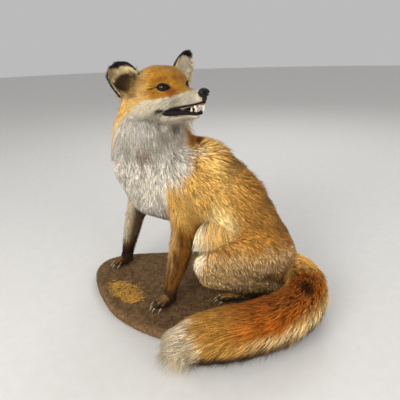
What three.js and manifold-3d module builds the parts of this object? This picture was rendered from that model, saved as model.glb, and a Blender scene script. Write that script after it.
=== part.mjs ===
// Taxidermy red fox, sitting on an oval earth-covered base with its head turned to its left.
// Millimetres, +Z up, z = 0 at the underside of the base. The fox faces -Y and its left side is +X.
// Every solid reaches out to the tips of the coat.
import * as THREE from 'three';
import { mergeVertices } from 'three/addons/utils/BufferGeometryUtils.js';
import Module from 'manifold-3d';

const wasm = await Module();
wasm.setup();

// ---------------------------------------------------------------- driving dimensions
const GAP = 0.3; // clearance between neighbouring nodes
const BASE_HEIGHT = 25;
const BASE_EDGE = 9; // rounding of the base's rim
// Free outline of the base, corner by corner: 500 long (Y) and 356 wide (X).
const BASE_OUTLINE = [
  [-173, -186],
  [-146, -238],
  [-97, -252],
  [-38, -238],
  [22, -210],
  [70, -180],
  [118, -126],
  [152, -66],
  [176, 20],
  [178, 110],
  [146, 196],
  [60, 242],
  [-40, 248],
  [-126, 206],
  [-172, 110],
  [-180, 0],
  [-178, -100],
];
const GROUND = BASE_HEIGHT + GAP; // level that the soles stand on

const HEAD_TURN = 40; // heading of the nose, degrees from +X towards +Y
const HEAD_LIFT = 11; // nose raised above level
const HEAD_AT = [20, -31, 466]; // point midway between the eyes
const EYE_RADIUS = 11;
const EYE_SPREAD = 22; // eyeball centre from the head's middle plane
const NOSE_REACH = 88; // nose tip ahead of the eyes
const JAW_OPENING = 6; // degrees
const JAW_HINGE = [-22, 0, -42];
const EAR_SHELL = 5; // ear leather with its fur
// The left ear is carried a little wider than the right one. root and tip are in the head's own axes.
const EARS = {
  left: { root: [-50, 62, 22], tip: [-60, 99, 65], width: 52 },
  right: { root: [-50, -64, 15], tip: [-72, -78, 55], width: 56 },
};

// ---------------------------------------------------------------- solids
const DEG = Math.PI / 180;
const V = (p) => new THREE.Vector3(...p);

function solidFrom(positions, triangles) {
  return new wasm.Manifold(
    new wasm.Mesh({
      numProp: 3,
      vertProperties: new Float32Array(positions),
      triVerts: new Uint32Array(triangles),
    }),
  );
}

function solidOf(geometry) {
  geometry.deleteAttribute('normal');
  geometry.deleteAttribute('uv');
  const merged = mergeVertices(geometry, 1e-4);
  return solidFrom(merged.attributes.position.array, merged.index.array);
}

// Smooth value at t (0..1) through evenly spaced values.
function through(values, t) {
  const last = values.length - 1;
  const x = t * last;
  const i = Math.min(Math.floor(x), last - 1);
  const f = x - i;
  const a = values[Math.max(i - 1, 0)];
  const b = values[i];
  const c = values[i + 1];
  const d = values[Math.min(i + 2, last)];
  const cubic = 3 * b - a - 3 * c + d;
  return 0.5 * (2 * b + (c - a) * f + (2 * a - 5 * b + 4 * c - d) * f * f + cubic * f * f * f);
}

// Stacks closed rings of equal count into one solid. An end closes on the point given, or without one on a
// strip of quads between the two halves of its ring.
function skinRings(rings, startTip, endTip) {
  const n = rings[0].length;
  const positions = [];
  const triangles = [];
  for (const ring of rings) {
    for (const p of ring) positions.push(p.x, p.y, p.z);
  }
  const top = (rings.length - 1) * n;
  for (let j = 0; j < n; j++) {
    const k = (j + 1) % n;
    for (let i = 0; i < rings.length - 1; i++) {
      const a = i * n + j;
      const b = i * n + k;
      triangles.push(a, b, b + n, a, b + n, a + n);
    }
  }
  const close = (tip, base, outward) => {
    const face = (a, b, c) => triangles.push(a, outward ? b : c, outward ? c : b);
    if (tip) {
      const at = positions.length / 3;
      positions.push(tip.x, tip.y, tip.z);
      for (let j = 0; j < n; j++) face(at, base + j, base + ((j + 1) % n));
      return;
    }
    for (let i = 0; i < n / 2 - 1; i++) {
      face(base + i, base + i + 1, base + n - 2 - i);
      face(base + i, base + n - 2 - i, base + n - 1 - i);
    }
  };
  close(startTip, 0, false);
  close(endTip, top, true);
  return solidFrom(positions, triangles);
}

// A tube of changing oval section along a smooth line. Each station gives at: centre, w: half width,
// up and down: half depths, turn: heading of the width direction in degrees from +X, and
// taper: how much the section's top is narrower than its middle.
function loft(stations, options = {}) {
  const { sides = 12, grow = 0, caps = [0.7, 0.7], rounding = [35, 65], place = null } = options;
  const curve = new THREE.CatmullRomCurve3(stations.map((s) => V(s.at)), false, 'centripetal');
  const pick = (key, t, other) => through(stations.map((s) => s[key] ?? other), t);
  const count = stations.length - 1;
  const frameAt = (t) => {
    const turn = pick('turn', t, 0) * DEG;
    const along = curve.getTangent(t);
    const side = new THREE.Vector3(Math.cos(turn), Math.sin(turn), 0);
    const up = new THREE.Vector3().crossVectors(along, side).normalize();
    return { centre: curve.getPoint(t), along, side, up };
  };
  const ringAt = (t, shrink, shift) => {
    const { centre, along, side, up } = frameAt(t);
    const w = (pick('w', t) + grow) * shrink;
    const high = (pick('up', t) + grow) * shrink;
    const low = (pick('down', t) + grow) * shrink;
    const taper = pick('taper', t, 0);
    const ring = [];
    for (let j = 0; j < sides; j++) {
      const a = ((j + 0.5) / sides) * 2 * Math.PI;
      const c = Math.cos(a);
      const s = Math.sin(a);
      const p = centre.clone().addScaledVector(side, w * c * (1 - taper * s));
      p.addScaledVector(up, (s > 0 ? high : low) * s).addScaledVector(along, shift);
      ring.push(p);
    }
    return ring;
  };
  const meanRadius = (t) => (pick('w', t) + (pick('up', t) + pick('down', t)) / 2) / 2;
  const rings = [];
  const startReach = caps[0] * meanRadius(0) + grow;
  const endReach = caps[1] * meanRadius(1) + grow;
  for (const a of [...rounding].reverse()) {
    rings.push(ringAt(0, Math.cos(a * DEG), -startReach * Math.sin(a * DEG)));
  }
  for (let i = 0; i <= count; i++) rings.push(ringAt(i / count, 1, 0));
  for (const a of rounding) rings.push(ringAt(1, Math.cos(a * DEG), endReach * Math.sin(a * DEG)));
  const start = frameAt(0);
  const end = frameAt(1);
  const startTip = start.centre.addScaledVector(start.along, -startReach);
  const endTip = end.centre.addScaledVector(end.along, endReach);
  if (place) {
    for (const ring of rings) for (const p of ring) p.applyMatrix4(place);
    startTip.applyMatrix4(place);
    endTip.applyMatrix4(place);
  }
  return skinRings(rings, startTip, endTip);
}

// A ball, stretched by the scale given.
function ball(at, radius, options = {}) {
  const { scale = [1, 1, 1], place = null, detail = [10, 8] } = options;
  const geometry = new THREE.SphereGeometry(radius, ...detail);
  geometry.scale(...scale);
  geometry.translate(...at);
  if (place) geometry.applyMatrix4(place);
  return solidOf(geometry);
}

// A thin slab that parts a solid: lies across the point, facing the direction given.
function halfSpace(point, towards, shift = 0) {
  const size = 700;
  const geometry = new THREE.BoxGeometry(size, size, size);
  geometry.translate(0, 0, size / 2 + shift);
  const turn = new THREE.Quaternion().setFromUnitVectors(new THREE.Vector3(0, 0, 1), V(towards).normalize());
  geometry.applyQuaternion(turn);
  geometry.translate(...point);
  return solidOf(geometry);
}

// The two sides of a cut across the point: [behind the plane, ahead of the plane].
function part(solid, point, towards) {
  const behind = solid.subtract(halfSpace(point, towards, -GAP / 2));
  const ahead = solid.intersect(halfSpace(point, towards, GAP / 2));
  return [behind, ahead];
}

const join = (solids) => solids.reduce((a, b) => a.add(b));
const cut = (solid, tools) => tools.reduce((a, b) => a.subtract(b), solid);
// The main body of a solid, without the slivers that a cut leaves beside it.
const main = (solid) => solid.decompose().reduce((a, b) => (a.volume() > b.volume() ? a : b));

// ---------------------------------------------------------------- base and straw
// A flat plate with a rounded rim, inside the base's outline.
function basePlate(grow) {
  const outline = new THREE.CatmullRomCurve3(BASE_OUTLINE.map(([x, y]) => V([x, y, 0])), true, 'centripetal');
  const sides = 40;
  const rim = [];
  for (let j = 0; j < sides; j++) {
    const point = outline.getPoint(j / sides);
    const tangent = outline.getTangent(j / sides);
    rim.push({ point, outward: new THREE.Vector3(tangent.y, -tangent.x, 0) });
  }
  const bends = [-90, -45, -5, 5, 45, 90];
  const rings = bends.map((bend) => {
    const inset = BASE_EDGE * (1 - Math.cos(bend * DEG)) - grow;
    const rise = BASE_EDGE * (1 - Math.sin(Math.abs(bend) * DEG)) - grow;
    const z = bend < 0 ? rise : BASE_HEIGHT - rise;
    return rim.map(({ point, outward }) => point.clone().addScaledVector(outward, -inset).setZ(z));
  });
  const middle = (z) => new THREE.Vector3(0, 0, z);
  return skinRings(rings, middle(rings[0][0].z), middle(rings[bends.length - 1][0].z));
}

function strawPatch() {
  const wobble = (a) => 0.08 * Math.sin(3 * a + 1) + 0.05 * Math.sin(5 * a);
  const sides = 24;
  const rings = [];
  for (const [r, z] of [[0.9, 0], [1, 1.8], [0.8, 5.4]]) {
    const ring = [];
    for (let j = 0; j < sides; j++) {
      const a = (j / sides) * 2 * Math.PI;
      const k = r * (1 + wobble(a));
      ring.push(new THREE.Vector3(66 * k * Math.cos(a), 40 * k * Math.sin(a), z));
    }
    rings.push(ring);
  }
  const solid = skinRings(rings, new THREE.Vector3(0, 0, 0), new THREE.Vector3(0, 0, 7));
  return solid.rotate([0, 0, 40]).translate([10, -164, GROUND]);
}

// ---------------------------------------------------------------- trunk and neck
const BODY = [
  { at: [-4, 172, 40], w: 50, up: 44, down: 44, turn: 0 },
  { at: [-6, 162, 68], w: 68, up: 60, down: 58, turn: 0 },
  { at: [-12, 144, 106], w: 80, up: 72, down: 68, turn: 3 },
  { at: [-24, 112, 152], w: 84, up: 76, down: 80, turn: 8 },
  { at: [-38, 68, 202], w: 84, up: 88, down: 90, turn: 14 },
  { at: [-52, 12, 250], w: 82, up: 95, down: 102, turn: 20 },
  { at: [-62, -54, 286], w: 80, up: 97, down: 122, turn: 26 },
  { at: [-66, -94, 332], w: 76, up: 80, down: 98, turn: 32 },
  { at: [-62, -100, 378], w: 73, up: 104, down: 70, turn: 42 },
  { at: [-52, -92, 418], w: 64, up: 78, down: 58, turn: 60 },
  { at: [-36, -80, 448], w: 56, up: 44, down: 50, turn: 90 },
];
const CHEST_CUT = { at: [-66, -98, 352], towards: [0, -0.25, 1] }; // trunk below, neck above

const body = (grow) => loft(BODY, { sides: 18, grow });

// ---------------------------------------------------------------- head
const headPlace = new THREE.Matrix4()
  .makeTranslation(...HEAD_AT)
  .multiply(new THREE.Matrix4().makeRotationZ(HEAD_TURN * DEG))
  .multiply(new THREE.Matrix4().makeRotationY(-HEAD_LIFT * DEG));
const jawPlace = headPlace
  .clone()
  .multiply(new THREE.Matrix4().makeTranslation(...JAW_HINGE))
  .multiply(new THREE.Matrix4().makeRotationY(JAW_OPENING * DEG))
  .multiply(new THREE.Matrix4().makeTranslation(...JAW_HINGE.map((c) => -c)));

// Stations along the head's own X axis: x ahead of the eyes, z: centre, w, up, down.
const along = (x, z, w, up, down, taper = 0) => ({ at: [x, 0, z], w, up, down, turn: 90, taper });

// Nape to throat: the neck lies behind and below this plane, the head above it.
const THROAT = new THREE.Vector3(-46, 0, -44).applyMatrix4(headPlace).toArray();
const THROAT_FACING = new THREE.Vector3(0.62, 0, 0.78).transformDirection(headPlace).toArray();

function skull(grow) {
  const cranium = loft(
    [
      along(-84, -12, 46, 36, 40),
      along(-66, -10, 58, 50, 54),
      along(-46, -10, 62, 56, 56),
      along(-26, -12, 54, 54, 50, 0.05),
      along(-8, -14, 44, 46, 36, 0.12),
      along(10, -18, 36, 34, 28, 0.18),
      along(28, -23, 26, 22, 21, 0.25),
      along(48, -26, 20, 15, 17, 0.2),
      along(64, -28, 17, 12.5, 14.5, 0.1),
      along(74, -29, 14, 12, 12, 0.05),
    ],
    { sides: 16, grow, place: headPlace, caps: [0.6, 0.25] },
  );
  const ruffs = [1, -1].map((side) =>
    loft(
      [
        { at: [2, 24 * side, -32], w: 10, up: 12, down: 12, turn: 90 },
        { at: [-22, 42 * side, -34], w: 19, up: 24, down: 24, turn: 90 },
        { at: [-46, 58 * side, -34], w: 20, up: 30, down: 32, turn: 90 },
        { at: [-70, 68 * side, -38], w: 14, up: 20, down: 24, turn: 90 },
      ],
      { sides: 8, grow, place: headPlace },
    ),
  );
  return join([cranium, ...ruffs]);
}

function jaw(grow) {
  return loft(
    [
      along(-34, -56, 26, 10, 16),
      along(-12, -54, 24, 9, 14),
      along(12, -51, 19, 7, 12),
      along(32, -50, 14.5, 5.5, 11),
      along(49, -50, 11.5, 5, 8),
      along(58, -50, 9.5, 4.5, 6),
    ],
    { sides: 10, grow, place: jawPlace, caps: [0.5, 0.6] },
  );
}

const nose = (grow) =>
  loft(
    [
      along(74, -23.5, 9, 6, 8),
      along(78, -23.5, 11, 8, 9),
      along(NOSE_REACH - 5, -24, 9.5, 7, 8),
    ],
    { sides: 8, rounding: [50], grow, place: headPlace, caps: [0.3, 0.42] },
  );

const eye = (side, grow) => ball([-4, EYE_SPREAD * side, -2], EYE_RADIUS + grow, { place: headPlace });
// Hollow between the lids that bares the front of the eye.
const lidHollow = (side) => ball([10, (EYE_SPREAD + 13) * side, -2], 12.5, { place: headPlace });

// Cupped shell: a row of crescent rings from root to tip, open towards the front.
function ear(side, grow) {
  const { root, tip, width } = EARS[side];
  const foot = V(root);
  const axis = V(tip).sub(foot);
  const facing = V([0.9, 0.42 * Math.sign(root[1]), 0.12]);
  facing.addScaledVector(axis, -facing.dot(axis) / axis.lengthSq()).normalize();
  const across = new THREE.Vector3().crossVectors(axis, facing).normalize();
  const arc = 5;
  const reach = 96 + grow * 2;
  const shell = EAR_SHELL / 2 + grow;
  const spot = (h, degrees, offset) => {
    const open = Math.min(Math.max(h, 0), 1);
    const half = (width / 2) * Math.sqrt(1 - open ** 2.6) + offset;
    const depth = 17 * Math.sqrt(1 - open) + 2 + offset;
    return foot
      .clone()
      .addScaledVector(axis, h)
      .addScaledVector(across, half * Math.sin(degrees * DEG))
      .addScaledVector(facing, -depth * Math.cos(degrees * DEG));
  };
  const over = grow / axis.length();
  const rings = [-0.25 - over, 0, 0.3, 0.6, 0.82, 0.95, 0.985 + over].map((h) => {
    const angles = Array.from({ length: arc + 1 }, (_, j) => reach * ((2 * j) / arc - 1));
    const outer = angles.map((a) => spot(h, a, shell));
    const inner = angles.reverse().map((a) => spot(h, a, -shell));
    return [...outer, ...inner].reverse().map((p) => p.applyMatrix4(headPlace));
  });
  return skinRings(rings);
}

// ---------------------------------------------------------------- mouth
const JAWS = {
  upper: { half: 14, front: 72, back: 14, level: -41, rise: -1, place: headPlace },
  lower: { half: 9, front: 59, back: 8, level: -45.5, rise: 1, place: jawPlace },
};

// Gum bent round the jaw, with its incisors, canines and cheek teeth standing on it.
function teeth(row, grow) {
  const { half, front, back, level, rise, place } = JAWS[row];
  const spots = Array.from({ length: 7 }, (_, i) => {
    const turn = (i / 6 - 0.5) * 180;
    const reach = back + (front - back) * Math.cos(turn * DEG) ** 0.7;
    return { at: [reach, half * Math.sin(turn * DEG), level], turn };
  });
  const gum = loft(
    spots.map(({ at, turn }) => ({ at, turn, w: 2.4, up: 2.4, down: 2.4 })),
    { sides: 5, rounding: [50], grow, place },
  );
  const crowns = spots.slice(1, -1).map(({ at: [x, y] }, i) => {
    const canine = i === 1 || i === 3;
    const height = canine ? 11 : 4.5;
    const cone = new THREE.ConeGeometry((canine ? 2.6 : 2.2) + 2 * grow, height + 4 * grow, 4, 1);
    cone.rotateX((rise * Math.PI) / 2);
    cone.translate(x, y, level + rise * (height / 2 + 0.5));
    cone.applyMatrix4(place);
    return solidOf(cone);
  });
  return join([gum, ...crowns]);
}

const tongue = (grow) =>
  loft(
    [
      along(-8, -46.5, 9, 2.5, 4),
      along(18, -44.5, 9.5, 3, 4),
      along(42, -44.5, 8, 3, 3.5),
      along(54, -45, 6, 2.4, 3),
    ],
    { sides: 6, rounding: [45], grow, place: jawPlace },
  );

// ---------------------------------------------------------------- legs
const FORELEG = {
  left: [
    { at: [-6, -42, 262], w: 24, up: 42, down: 40, turn: 26 },
    { at: [14, -28, 222], w: 26, up: 38, down: 38, turn: 26 },
    { at: [32, -22, 184], w: 25, up: 33, down: 33, turn: 28 },
    { at: [42, -33, 145], w: 22, up: 28, down: 29, turn: 32 },
    { at: [48, -43, 105], w: 19, up: 23, down: 23, turn: 36 },
    { at: [54, -54, 72], w: 16, up: 18, down: 18, turn: 38 },
    { at: [60, -60, 46], w: 15, up: 15, down: 15, turn: 40 },
  ],
  right: [
    { at: [-118, -106, 262], w: 24, up: 38, down: 38, turn: 26 },
    { at: [-119, -124, 222], w: 25, up: 34, down: 34, turn: 26 },
    { at: [-118, -138, 184], w: 21, up: 27, down: 27, turn: 28 },
    { at: [-119, -151, 145], w: 18, up: 21, down: 21, turn: 30 },
    { at: [-120, -162, 105], w: 16, up: 18, down: 18, turn: 32 },
    { at: [-120, -171, 72], w: 15, up: 16, down: 16, turn: 34 },
    { at: [-119, -177, 46], w: 15, up: 14, down: 15, turn: 36 },
  ],
};
const ELBOW_LEVEL = 176;
const WRIST_LEVEL = 62;

const foreleg = (side, grow) => loft(FORELEG[side], { sides: 8, grow });

// A claw growing forward and down from the end of a toe.
function claw(at, length, place) {
  const cone = new THREE.ConeGeometry(2.4, length, 4, 1);
  cone.rotateZ(-Math.PI / 2);
  cone.rotateY(16 * DEG);
  cone.translate(at[0] + length / 2, at[1], at[2] - 1.6);
  cone.applyMatrix4(place);
  return solidOf(cone);
}

// A paw: sole and four clawed toes in a fan. heading is where the toes point.
function paw({ heel, heading, length, width, height }, grow = 0) {
  const place = new THREE.Matrix4()
    .makeTranslation(...heel)
    .multiply(new THREE.Matrix4().makeRotationZ(heading * DEG));
  const h = height / 2;
  const sole = loft(
    [
      { at: [0, 0, h], w: width * 0.36, up: h, down: h, turn: 90 },
      { at: [length * 0.4, 0, h], w: width * 0.42, up: h * 1.02, down: h, turn: 90 },
      { at: [length * 0.7, 0, h * 0.9], w: width * 0.44, up: h * 0.85, down: h * 0.9, turn: 90 },
    ],
    { sides: 7, rounding: [45], grow, place, caps: [0.7, 0.5] },
  );
  const toeWidth = width / 4;
  const made = [sole];
  for (let i = 0; i < 4; i++) {
    const y = (i - 1.5) * toeWidth * 0.86;
    const reach = length - (i === 0 || i === 3 ? 9 : 0);
    const spread = (i - 1.5) * 1.2;
    const r = toeWidth * 0.6;
    made.push(
      loft(
        [
          { at: [length * 0.55, y, h], w: r * 0.9, up: r, down: r, turn: 90 },
          { at: [reach - 6, y + spread, h * 0.68], w: r * 0.95, up: r, down: h * 0.6, turn: 90 },
        ],
        { sides: 5, rounding: [45], grow, place },
      ),
    );
    made.push(claw([reach - 5, y + spread * 1.3, h * 0.7], 13, place));
  }
  return join(made);
}

const PAWS = {
  fore_left: { heel: [56, -54, GROUND], heading: -52, length: 54, width: 38, height: 27 },
  fore_right: { heel: [-124, -170, GROUND], heading: -56, length: 50, width: 37, height: 26 },
  hind_left: { heel: [58, 88, GROUND], heading: -88, length: 54, width: 35, height: 22 },
  hind_right: { heel: [-84, 92, GROUND], heading: -104, length: 54, width: 35, height: 22 },
};

const HIND = {
  left: {
    thigh: [
      { at: [26, 176, 112], w: 44, up: 52, down: 62, turn: 0 },
      { at: [40, 140, 122], w: 46, up: 60, down: 68, turn: -6 },
      { at: [54, 96, 128], w: 40, up: 58, down: 64, turn: -10 },
      { at: [66, 50, 126], w: 33, up: 48, down: 52, turn: -10 },
      { at: [74, 12, 120], w: 25, up: 40, down: 42, turn: -8 },
    ],
    shank: [
      { at: [76, 18, 98], w: 22, up: 28, down: 34, turn: -8 },
      { at: [72, 60, 84], w: 24, up: 28, down: 28, turn: -8 },
      { at: [62, 110, 68], w: 22, up: 26, down: 24, turn: -8 },
      { at: [50, 156, 56], w: 18, up: 20, down: 20, turn: -6 },
      { at: [44, 178, 48], w: 14, up: 15, down: 18, turn: -4 },
    ],
    foot: [
      { at: [42, 180, 42], w: 14, up: 15, down: 16.5, turn: 0 },
      { at: [48, 150, 38], w: 13, up: 13, down: 12.5, turn: 0 },
      { at: [54, 120, 37], w: 14, up: 12, down: 11.5, turn: 0 },
      { at: [60, 88, 36], w: 15, up: 11, down: 10.5, turn: 0 },
    ],
  },
  right: {
    thigh: [
      { at: [-40, 176, 112], w: 44, up: 52, down: 62, turn: 0 },
      { at: [-58, 140, 122], w: 46, up: 60, down: 66, turn: 10 },
      { at: [-78, 98, 128], w: 40, up: 58, down: 60, turn: 16 },
      { at: [-94, 56, 126], w: 32, up: 48, down: 48, turn: 18 },
      { at: [-106, 24, 120], w: 24, up: 36, down: 36, turn: 18 },
    ],
    shank: [
      { at: [-108, 20, 98], w: 22, up: 28, down: 34, turn: 18 },
      { at: [-100, 60, 84], w: 24, up: 28, down: 28, turn: 16 },
      { at: [-84, 110, 68], w: 22, up: 26, down: 24, turn: 12 },
      { at: [-66, 156, 56], w: 18, up: 20, down: 20, turn: 8 },
      { at: [-58, 178, 48], w: 14, up: 15, down: 18, turn: 6 },
    ],
    foot: [
      { at: [-57, 180, 42], w: 14, up: 15, down: 16.5, turn: 10 },
      { at: [-66, 150, 38], w: 13, up: 13, down: 12.5, turn: 12 },
      { at: [-74, 120, 37], w: 14, up: 12, down: 11.5, turn: 14 },
      { at: [-82, 92, 36], w: 15, up: 11, down: 10.5, turn: 14 },
    ],
  },
};
const RUMP_MIDDLE = [-8, 0, 0]; // the two thighs meet at this plane inside the rump
const sign = { left: 1, right: -1 };
const thigh = (side, grow) => {
  const ownSide = halfSpace(RUMP_MIDDLE, [sign[side], 0, 0], GAP / 2 - grow);
  return loft(HIND[side].thigh, { sides: 10, grow }).intersect(ownSide);
};
const shank = (side, grow) => loft(HIND[side].shank, { sides: 8, grow });
const foot = (side, grow) => loft(HIND[side].foot, { sides: 6, rounding: [45], grow });

// ---------------------------------------------------------------- tail
const TAIL = [
  { at: [-6, 206, 74], w: 30, up: 34, down: 34, turn: 118 },
  { at: [26, 226, 68], w: 37, up: 40, down: 38, turn: 104 },
  { at: [66, 226, 62], w: 44, up: 46, down: 43, turn: 80 },
  { at: [106, 212, 58], w: 50, up: 50, down: 49, turn: 60 },
  { at: [144, 182, 56], w: 53, up: 52, down: 52, turn: 45 },
  { at: [174, 138, 55], w: 54, up: 53, down: 52, turn: 28 },
  { at: [190, 88, 54], w: 54, up: 53, down: 51, turn: 15 },
  { at: [200, 34, 52], w: 53, up: 52, down: 49, turn: 10 },
  { at: [208, -14, 49], w: 46, up: 46, down: 45, turn: 9 },
  { at: [214, -46, 41], w: 31, up: 34, down: 33, turn: 9 },
];
const TAIL_CUTS = [
  { at: [98, 218, 58], towards: [0.8, -0.5, 0] },
  { at: [180, 120, 56], towards: [0.35, -0.94, 0] },
  { at: [203, 8, 52], towards: [0.12, -1, 0] },
];
const tail = (grow) => loft(TAIL, { sides: 12, grow, caps: [0.6, 0.9] });

// ---------------------------------------------------------------- nodes
const COAT = { roughness: 0.85, metalness: 0 };
const FINISH = {
  coat_red: { color: 0xb5652a, ...COAT },
  coat_tan: { color: 0xbd8a52, ...COAT },
  coat_white: { color: 0xe4ded2, ...COAT },
  coat_dark: { color: 0x3a2a20, ...COAT },
  ear: { color: 0x2c2420, ...COAT },
  earth: { color: 0x3b2f27, roughness: 0.95, metalness: 0 },
  straw: { color: 0xc9a04a, roughness: 0.8, metalness: 0 },
  glass_eye: { color: 0x2a1408, roughness: 0.08, metalness: 0 },
  nose_leather: { color: 0x141214, roughness: 0.4, metalness: 0 },
  enamel: { color: 0xece6d2, roughness: 0.3, metalness: 0 },
  tongue: { color: 0xb25a55, roughness: 0.45, metalness: 0 },
};

const fox = new THREE.Group();
fox.name = 'taxidermy_fox';

function addNode(name, solid, finish) {
  const mesh = main(solid).getMesh();
  const geometry = new THREE.BufferGeometry();
  geometry.setAttribute('position', new THREE.BufferAttribute(new Float32Array(mesh.vertProperties), 3));
  geometry.setIndex(new THREE.BufferAttribute(new Uint32Array(mesh.triVerts), 1));
  geometry.computeVertexNormals();
  const node = new THREE.Mesh(geometry, new THREE.MeshStandardMaterial(FINISH[finish]));
  node.material.name = finish;
  node.name = name;
  fox.add(node);
}

const SIDES = ['left', 'right'];
const both = (make) => SIDES.map((side) => make(side));
const floorTool = basePlate(GAP);

addNode('base_plate', basePlate(0), 'earth');
addNode('straw_patch', strawPatch(), 'straw');

const legTools = both((s) => [foreleg(s, GAP), thigh(s, GAP), shank(s, GAP), foot(s, GAP)]).flat();
const [trunk, overTrunk] = part(body(0), CHEST_CUT.at, CHEST_CUT.towards);
addNode('trunk', cut(trunk, [tail(GAP), floorTool, ...legTools]), 'coat_tan');

const eyesAndEars = both((s) => [eye(sign[s], GAP), lidHollow(sign[s]), ear(s, GAP)]).flat();
const faceTools = [nose(GAP), teeth('upper', GAP), ...eyesAndEars];
const [neck, head] = part(overTrunk.add(skull(0)), THROAT, THROAT_FACING);
const mouthTools = [skull(GAP), body(GAP)];
const jawSolid = cut(jaw(0), mouthTools);
addNode('neck', cut(neck, [jaw(GAP)]), 'coat_white');
addNode('head', cut(head, faceTools), 'coat_red');
addNode('lower_jaw', cut(jawSolid, [tongue(GAP), teeth('lower', GAP)]), 'coat_white');
addNode('nose_pad', nose(0), 'nose_leather');
addNode('teeth_upper', teeth('upper', 0), 'enamel');
addNode('teeth_lower', cut(teeth('lower', 0), mouthTools), 'enamel');
addNode('tongue', cut(tongue(0), [...mouthTools, teeth('lower', GAP)]), 'tongue');
for (const side of SIDES) {
  addNode(`eye_${side}`, eye(sign[side], 0), 'glass_eye');
  addNode(`ear_${side}`, ear(side, 0), 'ear');
}

for (const side of SIDES) {
  const leg = foreleg(side, 0);
  const [lower, upper] = part(leg, [0, 0, ELBOW_LEVEL], [0, 0, 1]);
  const [, forearm] = part(lower, [0, 0, WRIST_LEVEL], [0, 0, 1]);
  const wrist = lower.subtract(halfSpace([0, 0, WRIST_LEVEL], [0, 0, 1], -GAP / 2));
  addNode(`foreleg_upper_${side}`, upper, 'coat_tan');
  addNode(`foreleg_lower_${side}`, forearm, 'coat_red');
  addNode(`forepaw_${side}`, cut(wrist.add(paw(PAWS[`fore_${side}`])), [floorTool]), 'coat_dark');
}
for (const side of SIDES) {
  const toes = PAWS[`hind_${side}`];
  addNode(`thigh_${side}`, cut(thigh(side, 0), [floorTool, shank(side, GAP)]), 'coat_tan');
  addNode(`shank_${side}`, cut(shank(side, 0), [floorTool, foot(side, GAP), paw(toes, GAP)]), 'coat_tan');
  addNode(`hind_foot_${side}`, cut(foot(side, 0).add(paw(toes)), [floorTool]), 'coat_dark');
}

const hindTools = both((s) => [thigh(s, GAP), shank(s, GAP), foot(s, GAP)]).flat();
let rest = cut(tail(0), [floorTool, ...hindTools]);
TAIL_CUTS.forEach((place, i) => {
  const [near, far] = part(rest, place.at, place.towards);
  addNode(`tail_${i + 1}`, near, 'coat_tan');
  rest = far;
});
addNode('tail_tip', rest, 'coat_white');

export default fox;
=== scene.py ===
import itertools
import math

import bmesh
import bpy
import numpy as np
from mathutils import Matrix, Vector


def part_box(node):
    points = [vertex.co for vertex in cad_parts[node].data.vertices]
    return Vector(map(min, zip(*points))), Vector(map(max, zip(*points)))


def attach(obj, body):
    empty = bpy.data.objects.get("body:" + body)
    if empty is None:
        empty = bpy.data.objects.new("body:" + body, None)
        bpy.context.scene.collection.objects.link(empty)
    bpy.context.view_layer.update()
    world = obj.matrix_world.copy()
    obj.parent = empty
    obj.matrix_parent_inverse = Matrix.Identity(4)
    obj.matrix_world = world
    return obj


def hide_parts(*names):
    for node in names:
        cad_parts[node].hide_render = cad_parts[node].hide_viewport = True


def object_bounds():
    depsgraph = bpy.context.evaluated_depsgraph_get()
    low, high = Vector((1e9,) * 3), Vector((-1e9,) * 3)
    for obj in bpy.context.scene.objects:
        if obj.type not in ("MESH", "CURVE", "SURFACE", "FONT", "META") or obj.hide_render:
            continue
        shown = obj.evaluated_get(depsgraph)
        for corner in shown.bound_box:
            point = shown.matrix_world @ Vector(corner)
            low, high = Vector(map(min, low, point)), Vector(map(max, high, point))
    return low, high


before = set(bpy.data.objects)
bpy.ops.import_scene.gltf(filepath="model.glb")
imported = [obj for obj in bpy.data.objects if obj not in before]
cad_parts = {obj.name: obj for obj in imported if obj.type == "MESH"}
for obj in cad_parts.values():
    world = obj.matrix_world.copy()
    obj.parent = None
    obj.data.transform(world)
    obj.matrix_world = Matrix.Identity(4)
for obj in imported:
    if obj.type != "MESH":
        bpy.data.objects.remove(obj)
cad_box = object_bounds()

import openvdb as vdb
from mathutils import Matrix

MM = 0.001
rng = np.random.default_rng(20)

# ------------------------------------------------------------------ places taken from the frame


def centre(node):
    low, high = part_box(node)
    return (np.array(low) + np.array(high)) / 2


def unit(v):
    v = np.asarray(v, float)
    return v / np.linalg.norm(v, axis=-1, keepdims=True)


SIDES = ("left", "right")
SIGN = {"left": 1.0, "right": -1.0}
EYE_AHEAD, EYE_ASIDE, EYE_UP = -4, 22, -2.0  # an eye's middle in the head's own axes, in millimetres
EYE_AT = {side: centre("eye_" + side) for side in SIDES}
EYE_RADIUS = 11 * MM
eye_mid = (EYE_AT["left"] + EYE_AT["right"]) / 2
NOSE_DROP = math.radians(14.5)  # the nose lies this much below the head's own level, seen from the eyes
head_y = unit(EYE_AT["left"] - EYE_AT["right"])
to_nose = unit(centre("nose_pad") - eye_mid)
level = unit(to_nose - head_y * (to_nose @ head_y))
head_up = np.cross(level, head_y)
head_x = math.cos(NOSE_DROP) * level + math.sin(NOSE_DROP) * head_up
head_z = np.cross(head_x, head_y)
HEAD = np.stack([head_x, head_y, head_z])
HEAD_AT = eye_mid - HEAD.T @ (np.array([EYE_AHEAD, 0, EYE_UP]) * MM)


def in_head(p):
    """Points in the head's own axes: x ahead of the eyes, y to its left, z up."""
    return (p - HEAD_AT) @ HEAD.T


def from_head(q):
    return np.asarray(q, float) @ HEAD + HEAD_AT


# ------------------------------------------------------------------ the solids as distance fields
FLESH = [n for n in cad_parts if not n.startswith(("base", "straw", "teeth", "tongue", "eye", "nose"))]
VOXEL = 1.6 * MM
COARSE = 4 * MM
BORDER = 12 * MM  # how far the fields reach past the frame's box


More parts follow.
